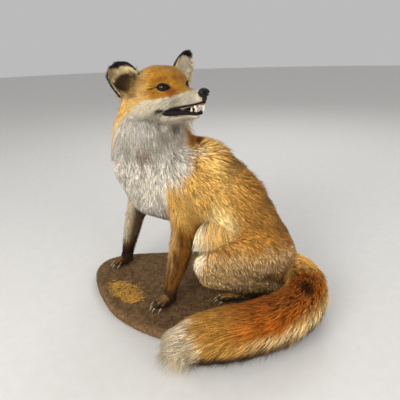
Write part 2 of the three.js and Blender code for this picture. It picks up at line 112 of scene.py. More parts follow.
def triangles_of(names):
    points, faces, first = [], [], 0
    for name in names:
        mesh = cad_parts[name].data
        mesh.calc_loop_triangles()
        v = np.empty(len(mesh.vertices) * 3, np.float32)
        t = np.empty(len(mesh.loop_triangles) * 3, np.int32)
        mesh.vertices.foreach_get("co", v)
        mesh.loop_triangles.foreach_get("vertices", t)
        points.append(v.reshape(-1, 3))
        faces.append(t.reshape(-1, 3) + first)
        first += len(points[-1])
    return np.concatenate(points), np.concatenate(faces).astype(np.uint32)


def eight_corners(i, f, value):
    """Value between the corners of each cell. i is the cell, f the place in it, value looks a corner up."""
    out = 0
    for d in np.ndindex(2, 2, 2):
        w = abs(1 - d[0] - f[:, 0]) * abs(1 - d[1] - f[:, 1]) * abs(1 - d[2] - f[:, 2])
        out = out + w * value(i[:, 0] + d[0], i[:, 1] + d[1], i[:, 2] + d[2])
    return out


def points_of(axes):
    """All the points of a lattice."""
    return np.stack(np.meshgrid(*axes, indexing="ij"), -1)


class Field:
    """A box of values on a regular lattice, sampled by trilinear interpolation."""

    def __init__(self, low, step, values):
        self.low, self.step, self.values = np.asarray(low, float), step, values

    def axes(self):
        return [self.low[i] + self.step * np.arange(self.values.shape[i]) for i in range(3)]

    def at(self, p):
        g = (p - self.low) / self.step
        top = np.array(self.values.shape[:3]) - 1.001
        g = np.clip(g, 0, top)
        i = g.astype(int)
        return eight_corners(i, g - i, lambda x, y, z: self.values[x, y, z])

    def resampled(self, axes):
        """The same field on other axes, one direction at a time."""
        values = self.values
        for k in range(3):
            g = np.clip((axes[k] - self.low[k]) / self.step, 0, values.shape[k] - 1.001)
            i = g.astype(int)
            shape = [1] * values.ndim
            shape[k] = -1
            f = (g - i).astype(np.float32).reshape(shape)
            values = np.take(values, i, k) * (1 - f) + np.take(values, i + 1, k) * f
        return values


def level_set(points, faces, step, band, quads=None):
    transform = vdb.createLinearTransform(voxelSize=step)
    kinds = {"triangles": faces} if quads is None else {"quads": quads}
    return vdb.FloatGrid.createLevelSetFromPolygons(points, transform=transform, halfWidth=float(band), **kinds)


box_low = np.array(cad_box[0]) - BORDER
box_high = np.array(cad_box[1]) + BORDER


def dense(grid, step):
    first = np.floor(box_low / step).astype(int)
    size = np.ceil(box_high / step).astype(int) - first + 1
    values = np.empty(size, np.float32)
    grid.copyToArray(values, ijk=tuple(int(i) for i in first))
    return Field(first * step, step, values)


def blurred(values, sigma):
    """Gaussian blur, sigma in cells."""
    reach = int(3 * sigma + 0.5)
    kernel = np.exp(-0.5 * (np.arange(-reach, reach + 1) / sigma) ** 2)
    kernel = (kernel / kernel.sum()).astype(np.float32)
    for k in range(3):
        edge = np.pad(values, [(reach, reach) if j == k else (0, 0) for j in range(3)], mode="edge")
        n = values.shape[k]
        values = sum(w * np.take(edge, range(i, i + n), k) for i, w in enumerate(kernel))
    return values


# The 0.3 mm gaps between the solids close when their common surface is taken a little way out.
CLOSING = 0.4 * MM
flesh_points, flesh_faces = triangles_of(FLESH + ["nose_pad"])
hull, _, hull_quads = level_set(flesh_points, flesh_faces, VOXEL, 3).convertToPolygons(isovalue=CLOSING)
near = dense(level_set(hull, None, VOXEL, 5, hull_quads), VOXEL)
near.values += CLOSING
far = dense(level_set(hull, None, COARSE, 13, hull_quads), COARSE)
far.values += CLOSING

# ------------------------------------------------------------------ depth of the coat
PAIRED = ("ear", "foreleg_upper", "foreleg_lower", "forepaw", "thigh", "shank", "hind_foot")


def by_node(**table):
    """A value for each node. Parts that come in pairs have one value, or a left and a right one."""
    values = {}
    for part, value in table.items():
        if part in PAIRED:
            pair = value if isinstance(value, tuple) else (value, value)
            values |= {f"{part}_{side}": each for side, each in zip(SIDES, pair)}
        else:
            values[part] = value
    return values


# How deep the skin lies under the solids' surface, in millimetres.
DEPTH = by_node(
    trunk=13, neck=15, head=5, lower_jaw=2.5, ear=0.4, nose_pad=1.0, foreleg_upper=(8, 7), foreleg_lower=(4, 3.5),
    forepaw=1.6, thigh=10, shank=6, hind_foot=1.8, tail_1=18, tail_2=27, tail_3=28, tail_tip=25,
)
node_field = {name: dense(level_set(*triangles_of([name]), COARSE, 9), COARSE) for name in DEPTH}
REACH = 7 * MM  # width over which neighbouring parts blend
weight = {name: np.exp(-np.maximum(field.values, 0) / REACH) for name, field in node_field.items()}
total = sum(weight.values()) + 1e-9


def spread(table):
    """A table of values by node, as a field that goes smoothly from part to part."""
    return Field(far.low, COARSE, sum(table.get(n, 0) * w for n, w in weight.items()) / total)


def share_of(w, names):
    return sum(w[name] for name in names)


depth = spread(DEPTH)
depth.values = blurred(depth.values, 1.5) * MM

# How closely the coat's outline keeps to the solids: softly on the body, exactly on ears, nose and paws.
SHARP = by_node(
    head=0.45, lower_jaw=0.8, ear=1, nose_pad=1, forepaw=1, hind_foot=0.8, foreleg_lower=0.8, foreleg_upper=0.4
)
sharp = spread(SHARP)
sharp.values = blurred(sharp.values, 0.7)

# How far the hair stands out beyond the solids, in millimetres: by part, and at places in the row's frame.
LOFT = by_node(foreleg_lower=(3.5, 7), foreleg_upper=(4, 6), neck=1.5)
LOFT_AT = [
    # middle, half sizes, height
    ((-46, 58, 326), (70, 62, 58), 20.0),
    ((-14, 128, 254), (62, 62, 66), 17.0),
    ((8, 160, 206), (40, 34, 40), 8.0),
    ((10, -140, 416), (36, 36, 48), 8.0),
    ((-24, -160, 372), (36, 32, 36), 6.0),
    ((68, 6, 164), (36, 32, 36), 20.0),
    ((52, 22, 168), (30, 30, 30), 14.0),
    ((96, 0, 126), (26, 26, 46), 4.0),
    ((-70, -8, 378), (44, 40, 40), 18.0),
]
FACE_LOFT_AT = [
    # the same, in the head's own axes
    ((-40, -30, 36), (32, 25, 24), 10.0),
    ((-20, 33, 31), (34, 23, 24), 10.0),
    ((0, 29, 17), (18, 14, 15), 8.0),
    ((2, 34, 4), (14, 11, 12), 3.5),
    ((-66, 92, 62), (20, 16, 22), 4.0),
]

# ------------------------------------------------------------------ face
# All lengths here are in millimetres and all points in the head's own axes, unless a name says otherwise.
EYE = {side: np.array([EYE_AHEAD, EYE_ASIDE * SIGN[side], EYE_UP]) for side in SIDES}
EYE_FACES = 43  # degrees outwards from straight ahead
EYE_SLANT = 10  # degrees, inner corner low
LID_REACH = (-70, 66)  # corners of the opening, degrees from the eye's axis: outer, inner
LID_UPPER, LID_LOWER = 26, 31  # degrees that the opening reaches above and below the eye's axis
JAW_HINGE = np.array([-22, 0, -42.0])
JAW_OPENING = math.radians(6)


def smooth(a, b, x):
    """0 up to a, 1 from b on, and a gentle step between."""
    t = np.clip((x - a) / (b - a), 0, 1)
    return t * t * (3 - 2 * t)


def soft_max(a, b, k):
    h = np.clip(0.5 + 0.5 * (a - b) / k, 0, 1)
    return b + (a - b) * h + k * h * (1 - h)


def soft_min(a, b, k):
    return -soft_max(-a, -b, k)


def eye_axes(side):
    """Axis of the eye, the way to its inner corner, and up across it."""
    turn, slant, s = math.radians(EYE_FACES), math.radians(EYE_SLANT), SIGN[side]
    out = unit([math.cos(turn), s * math.sin(turn), 0.1])
    inner = unit(np.array([math.sin(turn), -s * math.cos(turn), 0]))
    inner = unit(inner - out * (inner @ out))
    up = np.cross(out, inner) * s * -1
    up = up if up[2] > 0 else -up
    return out, inner * math.cos(slant) - up * math.sin(slant), up * math.cos(slant) + inner * math.sin(slant)


def lid_heights(t):
    """Upper and lower edge of the opening in degrees, t from -1 at the outer to 1 at the inner corner."""
    t = np.clip(t, -1, 1)
    return LID_UPPER * (1 - np.abs(t) ** 2.3), -LID_LOWER * (1 - np.abs(t) ** 1.9)


def eye_view(side, q):
    """Distance from the eye's centre, and degrees outside the opening's edge (negative within it)."""
    out, inner, up = eye_axes(side)
    e = q - EYE[side]
    r = np.linalg.norm(e, axis=-1) + 1e-6
    lon = np.degrees(np.arctan2(e @ inner, e @ out))
    lat = np.degrees(np.arcsin(np.clip(e @ up / r, -1, 1)))
    mid, half = sum(LID_REACH) / 2, (LID_REACH[1] - LID_REACH[0]) / 2
    t = (lon - mid) / half
    upper, lower = lid_heights(t)
    outside = np.maximum(np.maximum(lat - upper, lower - lat), (np.abs(t) - 1) * half)
    return r, outside


def bowl(side, q):
    """Height above the shallow bowl that the eye lies in."""
    out, inner, up = eye_axes(side)
    e = q - EYE[side]
    height = e @ out
    flat = e - height[..., None] * out
    across = np.linalg.norm(flat, axis=-1)
    lateral = -(flat @ inner) / (across + 1e-6)
    above = (flat @ up) / (across + 1e-6)
    slope = 0.3 + 0.12 * lateral + 0.22 * np.maximum(above, 0)
    return height - 8.8 - slope * (across - 9) - 0.08 * np.maximum(across - 15, 0) ** 2


FUR_BY_EYE = 2.0
# Profile of the face from brow to nose: places along the head and the heights there.
BRIDGE_X = [8, 14, 20, 28, 36, 50, 66, 78]
BRIDGE_Z = [90, 20, 7, -3.5, -8.5, -11.5, -14, -14]


def ellipsoid(q, at, size):
    size = np.asarray(size, float)
    return (np.linalg.norm((q - np.asarray(at)) / size, axis=-1) - 1) * size.min()


def beside_line(q, start, end):
    """Distance to the straight line between two points."""
    start, way = np.array(start, float), np.array(end, float) - np.array(start, float)
    h = np.clip(((q - start) @ way) / (way @ way), 0, 1)
    return np.linalg.norm(q - start - h[..., None] * way, axis=-1)


def face_hull(q, f):
    """The outline of the coat with the brows, the dip of the bridge and the eyes' bowls worked in."""
    x, y, z = q[..., 0], q[..., 1], q[..., 2]
    for s in SIGN.values():
        f = soft_min(f, ellipsoid(q, (4, 20 * s, 9), (12, 9, 7)), 4)
    f = soft_max(f, z - np.interp(x, BRIDGE_X, BRIDGE_Z) + 0.02 * np.minimum(np.abs(y), 18) ** 2, 4)
    for side in SIDES:
        f = soft_max(f, bowl(side, q) - FUR_BY_EYE, 3)
        f = soft_max(f, 6.0 - beside_line(q, (6, 27 * SIGN[side], -1.5), (25, 14.5 * SIGN[side], -3.5)), 4)
    return f


def halved(q):
    """Both sides of the head folded into one."""
    return q[..., 0], np.abs(q[..., 1]), q[..., 2]


def face_depth(q):
    """How deep the skin lies under the coat's outline on the face."""
    x, y, z = halved(q)
    muzzle = smooth(6, 30, x)
    cheek = smooth(24, 44, y) * smooth(6, -16, x) * smooth(20, -10, z)
    d = 4.5 + 5.5 * cheek
    by_eye = 0
    for side in SIDES:
        out = eye_axes(side)[0]
        far_off = np.linalg.norm(q - (EYE[side] + 9 * out), axis=-1)
        by_eye = np.maximum(by_eye, 1 - smooth(12, 24, far_off))
    d = d * (1 - muzzle) + 1.3 * muzzle
    return d * (1 - by_eye) + FUR_BY_EYE * by_eye


def jaw_place(q):
    """Points given in the closed jaw's axes, moved with the open jaw."""
    dx, dz = q[..., 0] - JAW_HINGE[0], q[..., 2] - JAW_HINGE[2]
    c, s = math.cos(JAW_OPENING), math.sin(JAW_OPENING)
    return np.stack([JAW_HINGE[0] + dx * c + dz * s, q[..., 1], JAW_HINGE[2] - dx * s + dz * c], -1)


def jaw_top(x):
    """Height of the lower jaw's edge."""
    return -44.5 - (x - JAW_HINGE[0]) * math.sin(JAW_OPENING)


def face_skin(q, f):
    """Eyelids and the cleft at the corners of the mouth, worked into the skin."""
    for side in SIDES:
        r, outside = eye_view(side, q)
        lid = 10.3 + 2.5 * smooth(-2, 5, outside)
        f = soft_min(f, r - lid, 1.6)
    x, z = q[..., 0], q[..., 2]
    half = 3.2 * smooth(-17, 22, x)
    cleft = np.maximum(np.abs(z + 45) - half, -(x + 17) * 0.3)
    return np.maximum(f, np.minimum(-cleft, f + 9))


def inside_mouth(q):
    """1 on the lining of the mouth, 0 on the furred skin."""
    x, y, z = halved(q)
    half = np.interp(x, [-18, 12, 32, 49, 62, 72], [28, 19.5, 15.5, 12.5, 9.5, 4])
    within = smooth(-17, -9, x) * smooth(half + 0.8, half - 0.8, y)
    return within * smooth(jaw_top(x) - 3, jaw_top(x) - 1, z) * smooth(-37.5, -39.5, z)


# ------------------------------------------------------------------ skin
HEAD_NODES = ("head", "lower_jaw", "nose_pad")
head_share = share_of(weight, HEAD_NODES) / total
inner_part = np.argwhere(head_share > 0.02)
at = in_head(inner_part * COARSE + far.low) / MM
share = head_share[tuple(inner_part.T)]
depth.values[tuple(inner_part.T)] *= 1 - share
depth.values[tuple(inner_part.T)] += share * face_depth(at) * MM

lattice = near.axes()
loft = spread(LOFT)
grid_at = points_of(loft.axes()) / MM
for places, grid in ((LOFT_AT, grid_at), (FACE_LOFT_AT, in_head(grid_at * MM) / MM)):
    for place, size, height in places:
        off = np.linalg.norm((grid - place) / np.array(size, float), axis=-1)
        loft.values = np.maximum(loft.values, height * (1 - smooth(0.3, 1.0, off)))
loft.values = blurred(loft.values, 1.0) * MM
del grid_at, off
far_soft = Field(far.low, COARSE, blurred(far.values, 1.5)).resampled(lattice)
sharp_here = sharp.resampled(lattice)
ear_share = np.clip(2.2 * spread(by_node(ear=1)).resampled(lattice) - 0.5, 0, 1)
sharp_here = np.maximum(sharp_here, ear_share)
near_soft = near.values * ear_share + blurred(near.values, 0.8) * (1 - ear_share)
outer = Field(near.low, VOXEL, sharp_here * near_soft + (1 - sharp_here) * far_soft)
depth_here = depth.resampled(lattice) * (1 - ear_share) + DEPTH["ear_left"] * MM * ear_share
del far_soft, near_soft, sharp_here, ear_share
FACE_LOW, FACE_HIGH = (-60, -60, -75), (95, 60, 45)
corner_points = from_head(np.array(list(itertools.product(*zip(FACE_LOW, FACE_HIGH)))) * MM)
face_low = np.floor((corner_points.min(0) - near.low) / VOXEL).astype(int)
face_high = np.minimum(np.ceil((corner_points.max(0) - near.low) / VOXEL).astype(int), near.values.shape)
face_box = tuple(slice(a, b) for a, b in zip(face_low, face_high))
face_lattice = in_head(points_of([places[own] for places, own in zip(lattice, face_box)])) / MM
outer.values[face_box] = face_hull(face_lattice, outer.values[face_box] / MM) * MM
plain_skin = Field(near.low, VOXEL, outer.values + depth_here)
skin_field = Field(near.low, VOXEL, plain_skin.values.copy())
skin_field.values[face_box] = face_skin(face_lattice, plain_skin.values[face_box] / MM) * MM


def skin_at(p):
    """Distance to the skin with the face's features exact."""
    f = plain_skin.at(p)
    q = in_head(p) / MM
    near_face = np.all((q > FACE_LOW) & (q < FACE_HIGH), axis=1)
    f[near_face] = face_skin(q[near_face], f[near_face] / MM) * MM
    return f


def slope_of(function, p, step):
    """Unit gradient by central differences."""
    g = np.empty_like(p)
    for k in range(3):
        off = np.zeros(3)
        off[k] = step
        g[:, k] = function(p + off) - function(p - off)
    return g / (np.linalg.norm(g, axis=1, keepdims=True) + 1e-12)


def surface_of(field, limit=20 * MM, adaptivity=0.0):
    """Points of the surface where a field is zero, and its triangles and quads."""
    grid = vdb.FloatGrid(limit)
    grid.copyFromArray(np.ascontiguousarray(np.clip(field.values, -limit, limit)), tolerance=0)
    points, *polygons = grid.convertToPolygons(isovalue=0.0, adaptivity=adaptivity)
    return points * field.step + field.low, polygons


def mesh_object(name, points, polygons, slot, smooth_shaded=True):
    """An object from arrays. polygons is a list of integer arrays, one for each count of corners."""
    mesh = bpy.data.meshes.new(name)
    polygons = [np.asarray(p, np.int32) for p in polygons if len(p)]
    counts = np.concatenate([np.full(len(p), p.shape[1], np.int32) for p in polygons])
    corners = np.concatenate([p.ravel() for p in polygons])
    mesh.vertices.add(len(points))
    mesh.vertices.foreach_set("co", np.asarray(points, np.float32).ravel())
    mesh.loops.add(len(corners))
    mesh.loops.foreach_set("vertex_index", corners)
    mesh.polygons.add(len(counts))
    mesh.polygons.foreach_set("loop_start", np.concatenate([[0], np.cumsum(counts)[:-1]]).astype(np.int32))
    mesh.polygons.foreach_set("loop_total", counts)
    mesh.polygons.foreach_set("use_smooth", np.full(len(counts), smooth_shaded))
    mesh.update(calc_edges=True)
    thing = bpy.data.objects.new(name, mesh)
    bpy.context.scene.collection.objects.link(thing)
    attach(thing, "root")
    return thing


def set_colours(mesh, colours):
    layer = mesh.color_attributes.new("Coat", "FLOAT_COLOR", "POINT")
    rgba = np.ones((len(colours), 4), np.float32)
    rgba[:, :3] = colours
    layer.data.foreach_set("color", rgba.ravel())


def corners_of(mesh):
    points = np.empty(len(mesh.vertices) * 3, np.float32)
    mesh.vertices.foreach_get("co", points)
    mesh.calc_loop_triangles()
    tris = np.empty(len(mesh.loop_triangles) * 3, np.int32)
    mesh.loop_triangles.foreach_get("vertices", tris)
    return points.reshape(-1, 3).astype(float), tris.reshape(-1, 3)


SKIN_THINNING = 0.02  # how far flat parts of the skin are made of larger faces
skin = mesh_object("skin", *surface_of(skin_field, adaptivity=SKIN_THINNING), "coat_tan")


def refine(thing, levels):
    """Finer faces round the eyes and the mouth, laid exactly on the features."""
    bm = bmesh.new()
    bm.from_mesh(thing.data)
    for _ in range(levels):
        bm.verts.ensure_lookup_table()
        q = in_head(np.array([v.co for v in bm.verts])) / MM
        wanted = np.zeros(len(q), bool)
        for side in SIDES:
            r, outside = eye_view(side, q)
            wanted |= (r < 17) & (outside < 28) & (outside > -12)
        mouth = (q[:, 0] > -14) & (q[:, 0] < 80) & (np.abs(q[:, 1]) < 32)
        wanted |= mouth & (q[:, 2] > jaw_top(q[:, 0]) - 5) & (q[:, 2] < -34)
        edges = [e for e in bm.edges if wanted[e.verts[0].index] or wanted[e.verts[1].index]]
        bmesh.ops.subdivide_edges(bm, edges=edges, cuts=1, use_grid_fill=True, smooth=0)
        bmesh.ops.triangulate(bm, faces=[f for f in bm.faces if len(f.verts) > 4])
    bm.to_mesh(thing.data)
    bm.free()
    points, _ = corners_of(thing.data)
    q = in_head(points) / MM
    close = np.all((q > [-40, -48, -66]) & (q < [92, 48, 30]), axis=1)
    moving = points[close]
    for _ in range(3):  # Newton's method, a little damped
        moving -= slope_of(skin_at, moving, 0.5 * MM) * np.clip(skin_at(moving), -MM, MM)[:, None] * 0.8
    points[close] = moving
    thing.data.vertices.foreach_set("co", points.astype(np.float32).ravel())
    thing.data.polygons.foreach_set("use_smooth", np.ones(len(thing.data.polygons), bool))
    thing.data.update()


REFINED = 2
refine(skin, REFINED)
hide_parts(*FLESH)

# ------------------------------------------------------------------ small sculpted parts


def ring_quads(rings, around, closed=False):
    """Quads between rings of points that follow one another."""
    j = np.arange(around)
    quads = []
    for i in range(rings if closed else rings - 1):
        a, b = i * around, (i + 1) % rings * around
        quads.append(np.stack([a + j, a + (j + 1) % around, b + (j + 1) % around, b + j], 1))
    return np.concatenate(quads)


def tube(path, radii, sides=8, flat=1.0, up=(0, 0, 1), closed=False):
    """Points and faces of a tube along a path, radius by radius. flat squeezes it across up."""
    path = np.asarray(path, float)
    n = len(path)
    if closed:
        forward = unit(np.roll(path, -1, 0) - np.roll(path, 1, 0))
    else:
        forward = unit(np.gradient(path, axis=0))
    side = unit(np.cross(forward, np.asarray(up, float)))
    top = np.cross(side, forward)
    turn = np.arange(sides) * 2 * math.pi / sides
    ring = np.cos(turn)[None, :, None] * side[:, None] * flat + np.sin(turn)[None, :, None] * top[:, None]
    points = (path[:, None] + ring * np.broadcast_to(radii, n)[:, None, None]).reshape(-1, 3)
    quads = ring_quads(n, sides, closed)
    if closed:
        return points, quads, np.empty((0, 3), int)
    points = np.concatenate([points, path[[0, -1]]])
    j = np.arange(sides)
    last = (n - 1) * sides
    ends = [np.stack([(j + 1) % sides, j, np.full(sides, n * sides)], 1)]
    ends.append(np.stack([last + j, last + (j + 1) % sides, np.full(sides, n * sides + 1)], 1))
    return points, quads, np.concatenate(ends)


def joined(parts):
    """Several parts' points, and their faces in one numbering."""
    points, quads, tris, first = [], [], [], 0
    for v, q, t in parts:
        points.append(v)
        quads.append(np.asarray(q, int).reshape(-1, 4) + first)
        tris.append(np.asarray(t, int).reshape(-1, 3) + first)
        first += len(v)
    return np.concatenate(points), [np.concatenate(quads), np.concatenate(tris)]


def sculpt(low, high, step, shape):
    """Surface of a shape given as a distance function of points in millimetres."""
    axes = [np.arange(a, b + step, step) for a, b in zip(low, high)]
    return surface_of(Field(low, step, shape(points_of(axes)).astype(np.float32)), limit=8.0)


def from_head_mm(q):
    return from_head(np.asarray(q, float) * MM)


# Eyeballs: a dark amber iris with an upright pupil under a bulging cornea.
IRIS_RADIUS = 8.4
PUPIL_HALF_WIDTH, PUPIL_HALF_HEIGHT = 3.0, 5.6
CORNEA_BULGE = 0.035
EYE_RINGS, EYE_AROUND = ((48, 64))
for side in SIDES:
    out, inner, up = eye_axes(side)
    polar = np.linspace(0, math.pi, EYE_RINGS + 1)[1:-1]
    spin = np.arange(EYE_AROUND) * 2 * math.pi / EYE_AROUND
    axis = np.cos(polar)[:, None, None] * out
    flat = np.cos(spin)[:, None] * inner + np.sin(spin)[:, None] * up
    sphere = axis + np.sin(polar)[:, None, None] * flat[None]
    sphere = np.concatenate([sphere.reshape(-1, 3), [out, -out]])
    facing = sphere @ out
    e = sphere * (EYE_RADIUS / MM * (1 + CORNEA_BULGE * smooth(0.72, 0.95, facing)))[:, None]
    j = np.arange(EYE_AROUND)
    following = (j + 1) % EYE_AROUND
    quads = np.roll(ring_quads(EYE_RINGS - 1, EYE_AROUND)[:, ::-1], 1, axis=1)
    last_ring = (EYE_RINGS - 2) * EYE_AROUND
    front_cap = np.stack([np.full(EYE_AROUND, len(sphere) - 2), j, following], 1)
    back_cap = np.stack([np.full(EYE_AROUND, len(sphere) - 1), last_ring + following, last_ring + j], 1)
    polygons = [quads, np.concatenate([front_cap, back_cap])]
    eye = mesh_object("eye_glass_" + side, from_head_mm(EYE[side] + e), polygons, "glass_eye")
    across, height = e @ inner, e @ up
    distance = np.hypot(across, height)
    iris = smooth(IRIS_RADIUS + 0.4, IRIS_RADIUS - 0.6, distance) * (facing > 0)
    pupil = smooth(1.25, 0.8, np.hypot(across / PUPIL_HALF_WIDTH, height / PUPIL_HALF_HEIGHT)) * (facing > 0)
    spokes = 0.8 + 0.2 * np.sin(np.arctan2(height, across) * 34 + np.sin(distance * 3))
    amber = np.array([0.032, 0.011, 0.003]) * spokes[:, None] * (0.55 + 0.5 * smooth(3, 8, distance))[:, None]
    colours = np.array([0.012, 0.008, 0.006]) * (1 - iris[:, None]) + amber * iris[:, None]
    colours = colours * (1 - pupil[:, None]) + np.full(3, 0.002) * pupil[:, None]
    set_colours(eye.data, colours)
    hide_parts("eye_" + side)

# Dark lid rims round each opening, with the tear corner drawn out towards the nose.
RIM_POINTS = 27  # along each lid
rims = []
for side in SIDES:
    out, inner, up = eye_axes(side)
    t = np.concatenate([np.linspace(-1, 1, RIM_POINTS), np.linspace(1, -1, RIM_POINTS)[1:-1]])
    upper, lower = lid_heights(t)
    lat = np.radians(np.where(np.arange(len(t)) < RIM_POINTS, upper, lower))
    lon = np.radians(sum(LID_REACH) / 2 + t * (LID_REACH[1] - LID_REACH[0]) / 2)
    ray = np.cos(lat)[:, None] * (np.cos(lon)[:, None] * out + np.sin(lon)[:, None] * inner)
    ray = ray + np.sin(lat)[:, None] * up
    corner = smooth(0.8, 1, t)
    path = EYE[side] + ray * (12.0 + 0.5 * corner)[:, None]
    radii = 0.8 + 1.25 * np.clip(np.degrees(lat) / LID_UPPER, 0, 1) + 0.3 * corner
    rims.append(tube(from_head_mm(path), radii * MM, 8, closed=True, up=HEAD.T @ out))
lid_rims = mesh_object("eyelid_rims", *joined(rims), "nose_leather")


def nose_shape(q):
    """Nose leather with comma-shaped nostrils and a groove below."""
    x, y, z = halved(q)
    at = np.stack([x, y, z], -1)
    f = ellipsoid(at, (78.0, 0, -21.2), (8.8, 9.2, 7.2))
    f = soft_min(f, ellipsoid(at, (80.0, 4.8, -23.0), (5.4, 4.6, 5.2)), 2.5)
    f = soft_min(f, ellipsoid(at, (78.5, 0, -30), (4.4, 3.2, 7.0)), 2.5)
    hole = ellipsoid(at, (85.2, 4.2, -22.8), (4.4, 1.9, 2.3))
    slit = ellipsoid(at, (82.0, 7.8, -24.6), (4.6, 3.4, 0.9))
    f = soft_max(f, -soft_min(hole, slit, 0.8), 0.8)
    groove = np.hypot(y, np.maximum(0, z + 23.5) * 0.7) - 0.75
    return soft_max(f, -np.maximum(groove, 84 - x), 0.7)


NOSE_STEP, TONGUE_STEP = ((0.45, 0.6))
nose_points, nose_faces = sculpt((66, -14, -42), (92, 14, -12), NOSE_STEP, nose_shape)
nose = mesh_object("nose", from_head_mm(nose_points), nose_faces, "nose_leather")
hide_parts("nose_pad")

# Lips: a broad dark one along the lower jaw, a thin one under the muzzle.
LOWER_EDGE = [
    (-24, 30.5, -42.8), (-19, 29.0, -43.4), (-10, 26.4, -44.2), (-2, 24.0, -44.5), (8, 20.8, -44.6),
    (20, 17.6, -44.4), (32, 14.8, -44.6), (44, 12.3, -45.0), (54, 9.6, -45.8), (60, 6.2, -46), (62.5, 0, -46),
]
UPPER_EDGE = [
    (-19, 29, -43.8), (-10, 28, -43.4), (-2, 27, -42.8), (8, 25, -41.6), (20, 21.5, -40.6), (32, 17.6, -40.2),
    (44, 15.2, -40), (56, 13, -39.6), (66, 10.2, -38.8), (73, 5.5, -37.8), (75.5, 0, -37),
]
HEAD_UP = HEAD.T @ [0, 0, 1.0]


def smoothed(path, count, rounds):
    """A path resampled evenly by its points' numbers and rounded off, its ends kept."""
    fine = np.linspace(0, len(path) - 1, count)
    fine = np.stack([np.interp(fine, np.arange(len(path)), path[:, k]) for k in range(3)], 1)
    for _ in range(rounds):
        fine[1:-1] = (fine[:-2] + 2 * fine[1:-1] + fine[2:]) / 4
    return fine


def horseshoe(edge, each=6):
    """A jaw's edge from its right corner round the front to the left one."""
    path = np.concatenate([np.array(edge) * [1, -1, 1], np.array(edge)[::-1][1:]])
    return smoothed(path, (len(path) - 1) * each + 1, 2 * each)


lip_path = jaw_place(horseshoe(LOWER_EDGE))
from_corner = smooth(-20, -6, lip_path[:, 0])
ripple = 1 + 0.09 * np.sin(np.arange(len(lip_path)) * 2.1)
lip_radii = (1.4 + 4.0 * from_corner - 2.4 * smooth(5, 50, lip_path[:, 0])) * ripple * MM
lips = [tube(from_head_mm(lip_path), lip_radii, 10, 0.6, HEAD_UP)]
lip_path = horseshoe(UPPER_EDGE)
from_corner = smooth(-20, 0, lip_path[:, 0])
lips.append(tube(from_head_mm(lip_path), (0.9 + 0.7 * from_corner) * MM, 8, 0.9, HEAD_UP))
lip_object = mesh_object("lips", *joined(lips), "nose_leather")

GUM_RINGS, TOOTH_RINGS = 41, 7


def jaw_teeth(half, front, back, level, rise, place):
    """Gum and crowns of one jaw. Crowns are leaning cones with a slight waist."""
    turn = np.radians(np.linspace(-90, 90, GUM_RINGS))
    reach = back + (front - back) * np.cos(turn) ** 0.7
    line = np.stack([reach, half * np.sin(turn), np.full(GUM_RINGS, level)], 1)
    gum = tube(from_head_mm(place(line)), 2.1 * MM, 8, 0.9, HEAD_UP)
    length = np.concatenate([[0], np.cumsum(np.linalg.norm(np.diff(line, axis=0), axis=1))])
    middle = length[-1] / 2
    crowns = []
    # Three incisors, the canine and five cheek teeth: place from the middle, height and radius.
    plan = [(1.4, 3.4, 1.2), (4.0, 3.6, 1.3), (6.6, 4.2, 1.5), (14.5, 12.5, 3.3)]
    plan += [(23 + 6.5 * k, 1.2 + 0.35 * k, 2.0) for k in range(5)]
    for side in (-1, 1):
        for off, height, radius in plan:
            s = middle + side * off
            root = np.array([np.interp(s, length, line[:, k]) for k in range(3)])
            outwards = unit(np.array([0.35, root[1] / half, 0]))
            ahead = unit(np.array([root[0] - back + 4, root[1] * 0.6, 0]))
            canine = height > 8
            path, radii = [], []
            for h in np.arange(TOOTH_RINGS) / (TOOTH_RINGS - 1):
                bend = (ahead * 2.2 * math.sin(h * 2.2) - ahead * 1.6 * h * h) if canine else outwards * 0.5 * h
                path.append(root + np.array([0, 0, rise * (0.8 + height * h)]) + bend)
                radii.append(radius * (1 - h**1.7) * (1.0 if h else 0.95) + 0.12)
            broad = 0.62 if canine or off < 8 else 1.5
            path = from_head_mm(place(np.array(path)))
            crowns.append(tube(path, np.array(radii) * MM, 8, broad, HEAD.T @ outwards))
    return gum, crowns


upper_gum, upper_crowns = jaw_teeth(12.6, 71.5, 14, -40.4, -1, lambda q: q)
lower_gum, lower_crowns = jaw_teeth(8.6, 58.5, 8, -45.2, 1, jaw_place)
gums, crowns = [upper_gum, lower_gum], upper_crowns + lower_crowns
gum_object = mesh_object("gums", *joined(gums), "tongue")
teeth_object = mesh_object("teeth", *joined(crowns), "enamel")
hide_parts("teeth_upper", "teeth_lower")


def tongue_shape(q):
    """A thin tongue with a groove along its middle."""
    x, y, z = halved(q)
    half = np.interp(x, [-8, 18, 42, 54, 58], [8.5, 9.2, 7.6, 5.5, 3])
    thick = np.interp(x, [-8, 42, 56], [3.4, 3.2, 2.2])
    body = (np.hypot(y / half, (z + 46) / thick) - 1) * thick
    tip = np.maximum(x - 50, 0) ** 2 * 0.05 + np.maximum(-6 - x, 0) * 0.8
    groove = 0.9 * np.exp(-((y / 1.3) ** 2)) * (z > -46)
    return body + tip + groove


tongue_points, tongue_faces = sculpt((-12, -12, -53), (62, 12, -39), TONGUE_STEP, tongue_shape)
tongue = mesh_object("tongue_soft", from_head_mm(jaw_place(tongue_points)), tongue_faces, "tongue")
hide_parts("tongue")

# Claws, curved and tapering, one on each toe.
GROUND = 25.3
# Heel in the row's frame, heading in degrees, length, width and height of each paw.
PAWS = {
    "fore_left": ((56, -54), -52, 54, 38, 27),
    "fore_right": ((-124, -170), -56, 50, 37, 26),
    "hind_left": ((58, 88), -88, 54, 35, 22),
    "hind_right": ((-84, 92), -104, 54, 35, 22),
}


def heading_ways(heading):
    """The ways ahead and aside for a heading in degrees."""
    turn = math.radians(heading)
    return np.array([math.cos(turn), math.sin(turn), 0]), np.array([-math.sin(turn), math.cos(turn), 0])


